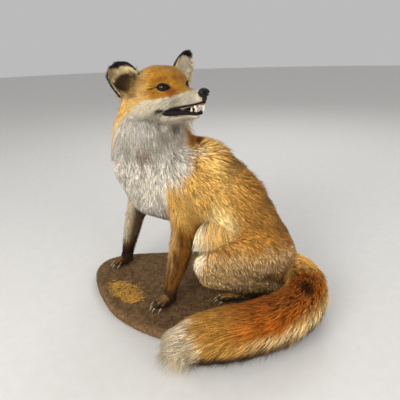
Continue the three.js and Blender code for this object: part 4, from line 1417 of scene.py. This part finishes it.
def hair_length(p, w):
    """Length of the hair at points in metres, in millimetres."""
    length = sum(HAIR_LENGTH[name] * share for name, share in w.items())
    q = in_head(p) / MM
    x, y, z = halved(q)
    cheek = smooth(24, 44, y) * smooth(6, -20, x) * smooth(20, -10, z)
    face = 8.5 + 15 * cheek
    face = face * (1 - smooth(2, 26, x)) + 4.2 * smooth(2, 26, x)
    face += 6 * smooth(-54, -60, z) * smooth(60, 30, x)
    by_eye = 0
    for side in SIDES:
        by_eye = np.maximum(by_eye, smooth(26, 14, eye_view(side, q)[0]))
    face = face * (1 - by_eye) + 3.6 * by_eye
    share = share_of(w, HEAD_NODES)
    length = length * (1 - share) + face * share
    for side in SIDES:
        h, across, _ = ear_place(side, q)
        length += w["ear_" + side] * 9 * smooth(0.3, 0.8, np.abs(across)) * smooth(0.85, 0.4, h)
    mm = p / MM
    ruff = 26 * spot(mm, (-66, -18, 408), (34, 30, 32)) + 12 * spot(mm, (-62, 30, 350), (42, 36, 36))
    return length + ruff + 1.5 * loft.at(p) / MM


# ------------------------------------------------------------------ coat
HAUNCHES, FORELEGS, FEET = (
    [f"{part}_{side}" for part in parts for side in SIDES]
    for parts in (("thigh", "shank"), ("foreleg_upper", "foreleg_lower"), ("forepaw", "hind_foot"))
)
COAT_PIECES = {
    # name: (parts of the body, number of tufts, width in mm, segments, slot, side, kind)
    "coat_face": (HEAD_NODES, 37000, 0.75, 1, "coat_red", "front", "short"),
    "coat_head": (("head", "lower_jaw"), 34500, 0.95, 1, "coat_red", "rear", "short"),
    "coat_ears": (("ear_left", "ear_right"), 15000, 0.8, 1, "ear", None, "short"),
    "coat_neck": (("neck",), 8500, 1.6, 2, "coat_white", None, "under"),
    "guard_neck": (("neck",), 14000, 1.0, 1, "coat_white", None, "guard"),
    "coat_chest": (("trunk",), 7500, 1.6, 2, "coat_white", "chest", "under"),
    "guard_chest": (("trunk",), 12000, 1.0, 1, "coat_white", "chest", "guard"),
    "coat_back_left": (("trunk",), 5500, 1.9, 2, "coat_tan", "left", "under"),
    "guard_back_left": (("trunk",), 22000, 1.0, 1, "coat_tan", "left", "guard"),
    "coat_back_right": (("trunk",), 5500, 1.9, 2, "coat_tan", "right", "under"),
    "guard_back_right": (("trunk",), 22000, 1.0, 1, "coat_tan", "right", "guard"),
    "coat_haunches": (HAUNCHES, 9000, 1.8, 2, "coat_tan", None, "under"),
    "coat_flank_fold": (("trunk",), 1500, 1.7, 3, "coat_tan", "fold", "fold"),
    "guard_haunches": (HAUNCHES, 19500, 1.15, 1, "coat_tan", None, "guard"),
    "coat_forelegs": (FORELEGS, 20000, 1.15, 1, "coat_red", None, "short"),
    "coat_feet": (FEET, 16000, 0.9, 1, "coat_dark", None, "short"),
    "coat_tail_root": (TAIL_NODES[:2], 5500, 2.0, 3, "coat_tan", None, "under"),
    "guard_tail_root": (TAIL_NODES[:2], 8000, 1.3, 1, "coat_tan", None, "guard"),
    "coat_tail_end": (TAIL_NODES[2:], 6800, 2.0, 3, "coat_tan", None, "under"),
    "guard_tail_end": (TAIL_NODES[2:], 9000, 1.3, 1, "coat_tan", None, "guard"),
}
# How far under the outline the tips end, as a share of the depth. Below 0 they end outside it.
LEVEL = {"fold": (0.0, 0.1), "short": (-0.2, 0.3), "under": (-0.12, 0.28), "guard": (-0.28, 0.12)}
# Breadth of a lock as a share of the hair's length.
LOCK = {"fold": 0.15, "short": 0.25, "under": 0.13, "guard": 0.07}
# How far the tips draw towards the middle of their lock, as a share of the way.
PULL = {"fold": (0.1, 0.3), "short": (0.05, 0.3), "under": (0.2, 0.5), "guard": (0.0, 0.14)}
MANY_CELLS = 4001  # more than the cells of locks along any side
SHARE_OF_TUFTS, WIDER = ((1.0, 1.0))

skin_points, skin_tris = corners_of(skin.data)
face_points = skin_points[skin_tris]
face_middle = face_points.mean(1)
face_normal = np.cross(face_points[:, 1] - face_points[:, 0], face_points[:, 2] - face_points[:, 0])
face_area = np.linalg.norm(face_normal, axis=1) / 2
names = list(node_field)
face_part = np.argmin([node_field[n].at(face_middle) for n in names], 0)
face_q = in_head(face_middle) / MM


def bald(q):
    """1 where no hair grows: the eyes and their rims, the mouth's lining and the nose."""
    none = inside_mouth(q)
    for side in SIDES:
        r, outside = eye_view(side, q)
        none = np.maximum(none, smooth(15, 13.5, r) * smooth(6, 3.5, outside))
    aside = np.abs(q[:, 1])
    lip = (np.abs(q[:, 2] - jaw_top(q[:, 0]) - 1.0) < 3.6) & (q[:, 0] > -24) & (aside > 7) & (aside < 31)
    return np.maximum(none, lip | (nose_shape(q) < 0.6))


# How thickly the tufts stand, against the rest of their piece: thin on the soles, close on the muzzle.
SOLES_BELOW = 27.5 * MM
density = np.ones(len(face_middle))
near_head = np.abs(face_q).max(1) < 130
density[near_head] *= 1 - bald(face_q[near_head])
density[face_middle[:, 2] < SOLES_BELOW] *= 0.25
density *= 1 + 1.2 * (face_q[:, 0] > 12) * near_head

in_front = face_q[:, 0] > -22
on_chest = face_middle[:, 1] < -30 * MM
on_left = face_middle[:, 0] > -30 * MM
BELONGS = {
    "front": in_front,
    "rear": ~in_front,
    "chest": on_chest,
    "left": ~on_chest & on_left,
    "right": ~on_chest & ~on_left,
    "fold": spot(face_middle / MM, (28, 30, 184), (20, 30, 22)) > 0.05,
    None: np.ones(len(face_middle), bool),
}


def outer_at(p):
    """Distance to the outline of the coat."""
    return outer.at(p) - loft.at(p)


# The axis that each part of the skin is unrolled round, where it isn't upright.
UNWRAP_AXIS = dict(zip(TAIL_NODES, [unit([1, -0.4, 0]), unit([0.5, -0.9, 0]), unit([0.2, -1, 0]), unit([0.1, -1, 0])]))
UNWRAP_AXIS |= {n: HEAD.T @ [1.0, 0, 0] for n in HEAD_NODES}
UNWRAP_AXIS |= {"ear_" + side: unit(HEAD.T @ ear_frame(side)[1]) for side in SIDES}
UNWRAP_AXIS |= by_node(hind_foot=np.array([0, 1.0, 0]), shank=unit([0, 1, -0.3]))


def unwrapped(p, part):
    """The skin of each part unrolled round its own axis, the parts side by side."""
    uv = np.zeros((len(p), 2))
    present = np.unique(part)
    for column, k in enumerate(present):
        own = part == k
        axis = UNWRAP_AXIS.get(names[k], np.array([0, 0, 1.0]))
        whole = face_middle[face_part == k]
        middle = whole.mean(0)
        side_way = unit(np.cross(axis, [0.31, 0.22, 0.92]))
        third = np.cross(axis, side_way)
        low, high = ((whole - middle) @ axis).min(), ((whole - middle) @ axis).max()
        e = p[own] - middle
        around = np.arctan2(e @ third, e @ side_way) / (2 * math.pi) + 0.5
        along = (e @ axis - low) / (high - low)
        uv[own, 0] = (column + 0.03 + 0.94 * np.clip(around, 0, 1)) / len(present)
        uv[own, 1] = 0.01 + 0.98 * np.clip(along, 0, 1)
    return uv


PATCH = 0.003  # breadth of one tuft's patch on the unwrap
COAT_GAIN = 1.3  # hair shades its neighbours, so each one is paler than the coat looks
SKIN_GAIN = 0.8
RISE_STEPS = {1: [1.0], 2: [0.5, 1.0], 3: [0.34, 0.68, 1.0]}  # where along a hair its points lie
PROFILE = {1: [1.0], 2: [0.7, 1.0], 3: [0.75, 1.0, 0.78]}  # breadth of a tuft's rings from root to tip


def strand_points(root, way, length, level, segments):
    """Middle line of each hair: it leaves the skin, rises to its level under the outline and runs along it."""
    depth_root = np.maximum(-outer_at(root), 0.4 * MM)
    line = [root]
    heading = way
    before = 0
    for h in RISE_STEPS[segments]:
        at = line[-1] + heading * (length * (h - before))[:, None]
        rise = 1 - (1 - h) ** 2
        aim = -depth_root * (1 - rise * (1 - level))
        for _ in range(2):
            g = slope_of(outer_at, at, 2 * MM)
            miss = np.clip(aim - outer_at(at), -0.45 * length, 0.45 * length)
            at = at + g * miss[:, None]
        made = at - line[-1]
        heading = unit(heading - g * (heading * g).sum(1, keepdims=True))
        line.append(line[-1] + made * (length * (h - before) / np.maximum(np.linalg.norm(made, axis=1), 1e-6))[:, None])
        before = h
    return np.stack(line, 1)


FARTHEST_X = 267 * MM  # the hairs stay this side of it
LOWEST_TIP = 1.5 * MM


def hanging(root, segments):
    """Middle lines of the long hairs of the flank's fold, which hang free to the front of the thigh."""
    count = len(root)
    back = root[:, 1] / MM
    goal = np.array([70, -4, 155]) + rng.normal(0, 1, (count, 3)) * [6, 8, 7]
    goal[:, 1] += 1.35 * np.maximum(back - 11, 0)
    h = (np.arange(segments + 1) / segments)[None, :, None]
    bow = rng.uniform(0.3, 1, (count, 1, 1)) * smooth(48, 14, back)[:, None, None]
    bow = bow * np.array([0.75, -0.35, 0.5]) * 14 * MM
    return root[:, None] + (goal * MM - root)[:, None] * h + 4 * h * (1 - h) * bow


def template(segments):
    """Faces and texture corners of one tuft: rings of three points and a point at the tip."""
    quads, quad_uv, tris, tri_uv = [], [], [], []
    for i, j in np.ndindex(segments, 3):
        a, low, high = i * 3, i / segments, (i + 1) / segments
        following = (j + 1) % 3
        if i < segments - 1:
            quads.append((a + j, a + following, a + 3 + following, a + 3 + j))
            quad_uv += [(j / 3, low), ((j + 1) / 3, low), ((j + 1) / 3, high), (j / 3, high)]
        else:
            tris.append((a + j, a + following, a + 3))
            tri_uv += [(j / 3, low), ((j + 1) / 3, low), ((j + 0.5) / 3, 1)]
    tris.append((2, 1, 0))
    tri_uv += [(0.2, 0), (0.5, 0), (0.8, 0)]
    return np.array(quads, int).reshape(-1, 4), np.array(quad_uv).reshape(-1, 2), np.array(tris), np.array(tri_uv)


def grow(name, parts, count, width, segments, slot, piece_side, kind):
    """One piece of the coat."""
    own = np.isin(face_part, [names.index(n) for n in parts]) & BELONGS[piece_side]
    faces = np.flatnonzero(own & (density > 0))
    mass = np.cumsum(face_area[faces] * density[faces])
    count = int(count * SHARE_OF_TUFTS)
    pick = np.searchsorted(mass, (np.arange(count) + rng.random(count)) / count * mass[-1])
    chosen = faces[np.minimum(pick, len(faces) - 1)]
    a, b = rng.random(count), rng.random(count)
    a, b = np.where(a + b > 1, 1 - a, a), np.where(a + b > 1, 1 - b, b)
    corner = face_points[chosen]
    root = corner[:, 0] * (1 - a - b)[:, None] + corner[:, 1] * a[:, None] + corner[:, 2] * b[:, None]
    normal = slope_of(skin_field.at, root, 1.5 * MM)
    w = part_weights(root)
    length = hair_length(root, w) * MM
    mm = root / MM

    # Direction: the lie, swung by slow waves and a little at random, flattened onto the skin.
    way = lie(root, normal, w)
    way = unit(way - normal * (way * normal).sum(1, keepdims=True))
    swing = np.radians(12 * wave(mm, 34, 41) + 6 * wave(mm, 11, 42) + rng.normal(0, 8, count))
    way = way * np.cos(swing)[:, None] + np.cross(normal, way) * np.sin(swing)[:, None]
    length *= 1 + 0.16 * wave(mm, 15, 43) + rng.uniform(-0.22, 0.14, count)
    level = rng.uniform(*LEVEL[kind], count) + 0.08 * wave(mm, 10, 44)
    if kind == "fold":
        line = hanging(root, segments)
    else:
        line = strand_points(root, way, length, level, segments)
    line[..., 2] = np.maximum(line[..., 2], LOWEST_TIP)
    room = (FARTHEST_X - root[:, 0]) / np.maximum(line[..., 0].max(1) - root[:, 0], 1e-6)
    line = root[:, None] + (line - root[:, None]) * np.clip(room, 0, 1)[:, None, None]

    # Locks: the tips draw towards the middle of their neighbours'.
    size = np.clip(length.mean() * LOCK[kind], 1.5 * MM, 11 * MM)
    shifted = root + 0.3 * size * np.stack([wave(mm, 7, seed) for seed in (51, 52, 53)], 1)
    cell = np.floor(shifted / size).astype(np.int64)
    _, lock = np.unique(cell @ np.array([1, MANY_CELLS, MANY_CELLS**2]), return_inverse=True)
    members = np.bincount(lock).astype(float)
    pull = rng.uniform(*PULL[kind], count)
    lock_light = rng.normal(1, 0.05, len(members))[lock]
    for k in range(1, segments + 1):
        mean = np.stack([np.bincount(lock, line[:, k, i]) for i in range(3)], 1) / members[:, None]
        line[:, k] += (mean[lock] - line[:, k]) * (pull * (k / segments) ** 1.5)[:, None]

    # Blades.
    along = np.gradient(line, axis=1)
    across = unit(np.cross(along, normal[:, None]))
    roll = rng.normal(0, 0.35, count)
    thick = unit(np.cross(across, along))
    across, thick = (
        across * np.cos(roll)[:, None, None] + thick * np.sin(roll)[:, None, None],
        thick * np.cos(roll)[:, None, None] - across * np.sin(roll)[:, None, None],
    )
    wide = width * WIDER * MM * rng.uniform(0.65, 1.25, count) * np.clip(length / (length.mean() + 1e-9), 0.6, 1.2)
    half = (wide[:, None] * np.array(PROFILE[segments])[None] / 2)[..., None]
    rings, across, thick = line[:, :segments], across[:, :segments], thick[:, :segments]
    bottom = rings - 0.35 * half * thick
    points = np.stack([bottom - half * across, bottom + half * across, rings + 0.5 * half * thick], 2)
    points = np.concatenate([points.reshape(count, -1, 3), line[:, -1:]], 1)
    per = segments * 3 + 1
    quads, quad_uv, tris, tri_uv = template(segments)
    first = (np.arange(count) * per)[:, None, None]
    polygons = [(quads[None] + first).reshape(-1, 4), (tris[None] + first).reshape(-1, 3)]
    thing = mesh_object(name, points.reshape(-1, 3), polygons, slot)

    uv = unwrapped(root, face_part[chosen])
    layer = thing.data.uv_layers.new(name="OFBake")
    flat = [(uv[:, None] + (t[None] - 0.5) * PATCH).reshape(-1, 2) for t in (quad_uv, tri_uv)]
    layer.data.foreach_set("uv", np.concatenate(flat).astype(np.float32).ravel())

    # Colour: the markings at the root, each hair a little its own, darker below, some with dark tips.
    seen = 0.35 * line[:, -2] + 0.65 * line[:, -1]
    main = paint(seen, slope_of(outer_at, seen, 2 * MM)) * COAT_GAIN
    light = lock_light * rng.normal(1, np.where(w["head"] + w["nose_pad"] > 0.5, 0.17, 0.24), count)
    light = light * (1 + 0.10 * wave(mm, 8, 61) + 0.07 * wave(mm, 3, 62))
    tint = np.stack([np.ones(count), rng.normal(1, 0.03, count), rng.normal(1, 0.07, count)], 1)
    main = main * np.clip(light, 0.6, 1.5)[:, None] * tint
    if kind == "fold":
        pale = smooth(30, 0, seen[:, 1] / MM + rng.normal(0, 8, count))
        main = mix(even(srgb(248, 208, 130), root), srgb(240, 228, 198), pale) * light[:, None]
    brightness = main @ [0.3, 0.6, 0.1]
    body_share = share_of(w, ("trunk", "thigh_left", "thigh_right")) + 0.6 * w["neck"]
    body_share = body_share + 0.5 * share_of(w, TAIL_NODES[:3])
    yellow = smooth(0.12, 0.3, (main[:, 0] - main[:, 2]) / (main[:, 0] + 1e-6) - 0.25)
    often = 0.5 if kind == "guard" else 0.2
    dark_tip = (rng.random(count) < often * body_share * yellow) * rng.uniform(0.4, 0.9, count)
    pale_band = (rng.random(count) < 0.3 * (body_share * yellow + 0.5 * w["head"])) & (dark_tip == 0)
    main = main * (1 + 0.22 * pale_band[:, None])
    ring_h = np.arange(segments + 1) / segments
    root_dark = (0.62 + 0.1 * smooth(0.5, 0.8, brightness))[:, None, None]
    shade_along = root_dark + (1.04 - root_dark) * smooth(0, 0.6, ring_h)[None, :, None]
    colours = main[:, None] * shade_along
    colours[:, -1] = colours[:, -1] * (1 - dark_tip)[:, None] + UMBER * 0.8 * dark_tip[:, None]
    vertex = np.concatenate([np.repeat(colours[:, :segments], 3, axis=1), colours[:, -1:]], 1)
    set_colours(thing.data, vertex.reshape(-1, 3))
    return thing


normals = slope_of(skin_field.at, skin_points, 1.5 * MM)
set_colours(skin.data, paint(skin_points, normals) * SKIN_GAIN)
coat = [grow(name, *plan) for name, plan in COAT_PIECES.items()]
hair.on(*coat)
face_hair.on(bpy.data.objects["coat_face"])

# ------------------------------------------------------------------ base
BASE_STEP = 2.6 * MM
BASE_ROOM = 40 * MM  # height that the base's field keeps
STRAW_TRIES, GRAINS = ((2000, 9000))
plate_points, plate_faces = triangles_of(["base_plate"])
plate = dense(level_set(plate_points, plate_faces, BASE_STEP, 3), BASE_STEP)
plate = Field(plate.low, BASE_STEP, plate.values[:, :, : int((BASE_ROOM - plate.low[2]) / BASE_STEP)])
spots = points_of(plate.axes()).reshape(-1, 3) / MM
rough = 0.55 + 0.34 * wave(spots, 13, 71) + 0.42 * wave(spots, 5.5, 72)
relief = np.maximum(rough, 0.02) * smooth(2, 8, spots[:, 2])
relief, below = (each.reshape(plate.values.shape) * MM for each in (relief, -spots[:, 2]))
plate.values = np.maximum(plate.values + relief, below)
earth_points, earth_faces = surface_of(plate)
earth_points[:, 2] = np.maximum(earth_points[:, 2], 0)
ground = mesh_object("base_earth", earth_points, earth_faces, "earth")
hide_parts("base_plate")


def inside_base(p):
    """Whether places in plan lie well within the board, measured at half its height."""
    return plate.at(np.column_stack([p, np.full(len(p), 12 * MM)])) < -4 * MM


def on_base(count, low, high):
    """Random places on top of the base within a rectangle."""
    p = np.column_stack([rng.uniform(low[k], high[k], count) for k in (0, 1)])
    p = p[inside_base(p)]
    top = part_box("base_plate")[1][2]
    level = np.full(len(p), float(top))
    for _ in range(4):
        level -= plate.at(np.column_stack([p, level]))
    return np.column_stack([p, level])


# Grit: small rough grains half sunk in the earth.
grain_at = on_base(GRAINS, plate_points.min(0), plate_points.max(0))
corner_ways = np.array([(1, 0, 0), (-1, 0, 0), (0, 1, 0), (0, -1, 0), (0, 0, 1), (0, 0, -1)], float)
grain_size = rng.uniform(0.3, 1.0, len(grain_at)) ** 2 * 1.5 + 0.35
stretch = rng.uniform(0.6, 1.2, (len(grain_at), 6, 1))
turned = np.array([[0.8, 0.6, 0], [-0.6, 0.8, 0], [0, 0, 1.0]])
spin = rng.random(len(grain_at)) > 0.5
ways = np.where(spin[:, None, None], corner_ways @ turned, corner_ways @ turned.T @ turned.T)
grain_points = grain_at[:, None] + ways * stretch * grain_size[:, None, None] * MM
octahedron = np.array([(0, 2, 4), (2, 1, 4), (1, 3, 4), (3, 0, 4), (2, 0, 5), (1, 2, 5), (3, 1, 5), (0, 3, 5)])
grain_faces = (octahedron[None] + (np.arange(len(grain_at)) * 6)[:, None, None]).reshape(-1, 3)
grit = mesh_object("base_grit", grain_points.reshape(-1, 3), [grain_faces], "earth", False)
earth.on(ground, grit)

# Dry straw in a loose patch.
straw_low, straw_high = (np.array(c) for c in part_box("straw_patch"))
straw_mid, straw_half = (straw_low + straw_high) / 2, (straw_high - straw_low) / 2
fibres, tints = [], []
for foot in on_base(STRAW_TRIES, straw_low, straw_high):
    off = (foot - straw_mid)[:2] / straw_half[:2]
    off = np.array([0.9 * (off[0] + off[1]), 1.85 * (off[0] - off[1])]) / math.sqrt(2)
    if np.hypot(*off) > 0.98 - 0.45 * rng.random() ** 1.6:
        continue
    turn, reach = rng.uniform(0, 2 * math.pi), rng.uniform(5, 17) * MM
    h = np.linspace(-0.5, 0.5, 5)
    bend = rng.uniform(-0.5, 0.5) * reach
    lift = rng.uniform(0.2, 2.6) * MM * (1 - np.hypot(*off) * 0.5)
    x = foot[0] + reach * h * math.cos(turn) + bend * h**2 * -math.sin(turn)
    y = foot[1] + reach * h * math.sin(turn) + bend * h**2 * math.cos(turn)
    z = foot[2] + lift + rng.uniform(-0.12, 0.12) * reach * h * 0.8
    radius = rng.uniform(0.22, 0.48) * MM
    fibres.append(tube(np.column_stack([x, y, z]), radius * np.array([0.6, 1, 1, 0.9, 0.5]), 4, 1.0))
    tint = mix(srgb(232, 184, 84)[None], srgb(150, 104, 44), [rng.random() ** 1.6])[0]
    tints.append(tint * rng.uniform(0.8, 1.2))
straw_mesh = mesh_object("straw", *joined(fibres), "straw")
set_colours(straw_mesh.data, np.repeat(tints, [len(f[0]) for f in fibres], axis=0))
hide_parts("straw_patch")
dry_grass.on(straw_mesh)

# ------------------------------------------------------------------ studio
FLOOR_RADIUS, FLOOR_Z, FLOOR_CORNERS = 9, -0.0006, 64
floor_mesh = bpy.data.meshes.new("floor")
floor_points = [(0, 0, FLOOR_Z)]
for a in np.arange(FLOOR_CORNERS) * 2 * math.pi / FLOOR_CORNERS:
    floor_points.append((FLOOR_RADIUS * math.cos(a), FLOOR_RADIUS * math.sin(a), FLOOR_Z))
floor_faces = [(0, 1 + i, 1 + (i + 1) % FLOOR_CORNERS) for i in range(FLOOR_CORNERS)]
floor_mesh.from_pydata(floor_points, [], floor_faces)
floor = bpy.data.objects.new("floor", floor_mesh)
bpy.context.scene.collection.objects.link(floor)
paper = patterned(
    "pale_floor", (40, 4), (0.3, (0.70, 0.69, 0.67)), (0.7, (0.73, 0.72, 0.70)),
    (0.7, 0.85), (0.05, 0.0005), Specular_IOR_Level=0.2,
)
paper.on(floor)

world = bpy.data.worlds.new("studio")
bpy.context.scene.world = world
world.use_nodes = True
world.node_tree.nodes["Background"].inputs["Color"].default_value = (0.80, 0.80, 0.80, 1)
world.node_tree.nodes["Background"].inputs["Strength"].default_value = 0.62


def set_in_place(thing, right, up, back, at):
    """Gives a thing its place and its three axes."""
    rows = np.vstack([np.column_stack([right, up, back, at]), [0, 0, 0, 1]])
    thing.matrix_world = Matrix(rows.tolist())


def soft_light(name, at, target, size, power, tint=(1, 1, 1)):
    lamp = bpy.data.lights.new(name, "AREA")
    lamp.shape = "RECTANGLE"
    lamp.size, lamp.size_y = size
    lamp.energy = power
    lamp.color = tint
    thing = bpy.data.objects.new(name, lamp)
    bpy.context.scene.collection.objects.link(thing)
    back = unit(np.array(at) - np.array(target))
    right = unit(np.cross([0, 0, 1], back))
    set_in_place(thing, right, np.cross(back, right), back, at)
    return thing


MIDDLE = (0.0, 0.0, 0.26)
soft_light("key", (1.9, -1.3, 1.35), MIDDLE, (1.3, 1.0), 42, (1, 0.97, 0.92)).data.specular_factor = 0.35
for name, at, size, power in (("fill", (1.9, 1.5, 0.9), (1.4, 1.1), 21), ("low", (1.7, -0.7, 0.32), (1.6, 0.5), 13)):
    soft_light(name, at, MIDDLE, size, power, (1, 0.98, 0.95)).visible_glossy = False
soft_light("rim", (-1.7, 0.5, 1.8), MIDDLE, (1.2, 1.0), 14)
BY_EYES = np.array([0.03, -0.06, 0.47])
CATCH_AT = BY_EYES + 1.7 * np.array([0.18, -0.92, 0.34])
catch_light = soft_light("catch", CATCH_AT, BY_EYES, (0.7, 0.5), 12, (0.85, 0.93, 1))
catch_light.visible_diffuse = False

# ------------------------------------------------------------------ camera
CAMERA_AT = np.array([0.796, 0.009, 0.536])
CAMERA_DIP = math.radians(20.78)
CAMERA_ROLL = -0.0317
CAMERA_LENS, CAMERA_SENSOR = 37.08, 36
ahead = np.array([-math.cos(CAMERA_DIP), 0, -math.sin(CAMERA_DIP)])
level_right = np.array([0, 1.0, 0])
level_up = np.cross(level_right, ahead)
right = math.cos(CAMERA_ROLL) * level_right + math.sin(CAMERA_ROLL) * level_up
up = -math.sin(CAMERA_ROLL) * level_right + math.cos(CAMERA_ROLL) * level_up
camera = bpy.data.objects.new("camera", bpy.data.cameras.new("camera"))
camera.data.lens = CAMERA_LENS
camera.data.sensor_width = CAMERA_SENSOR
camera.data.clip_start = 0.01
bpy.context.scene.collection.objects.link(camera)
set_in_place(camera, right, up, -ahead, CAMERA_AT)
bpy.context.scene.camera = camera
bpy.context.scene.view_settings.view_transform = "Standard"
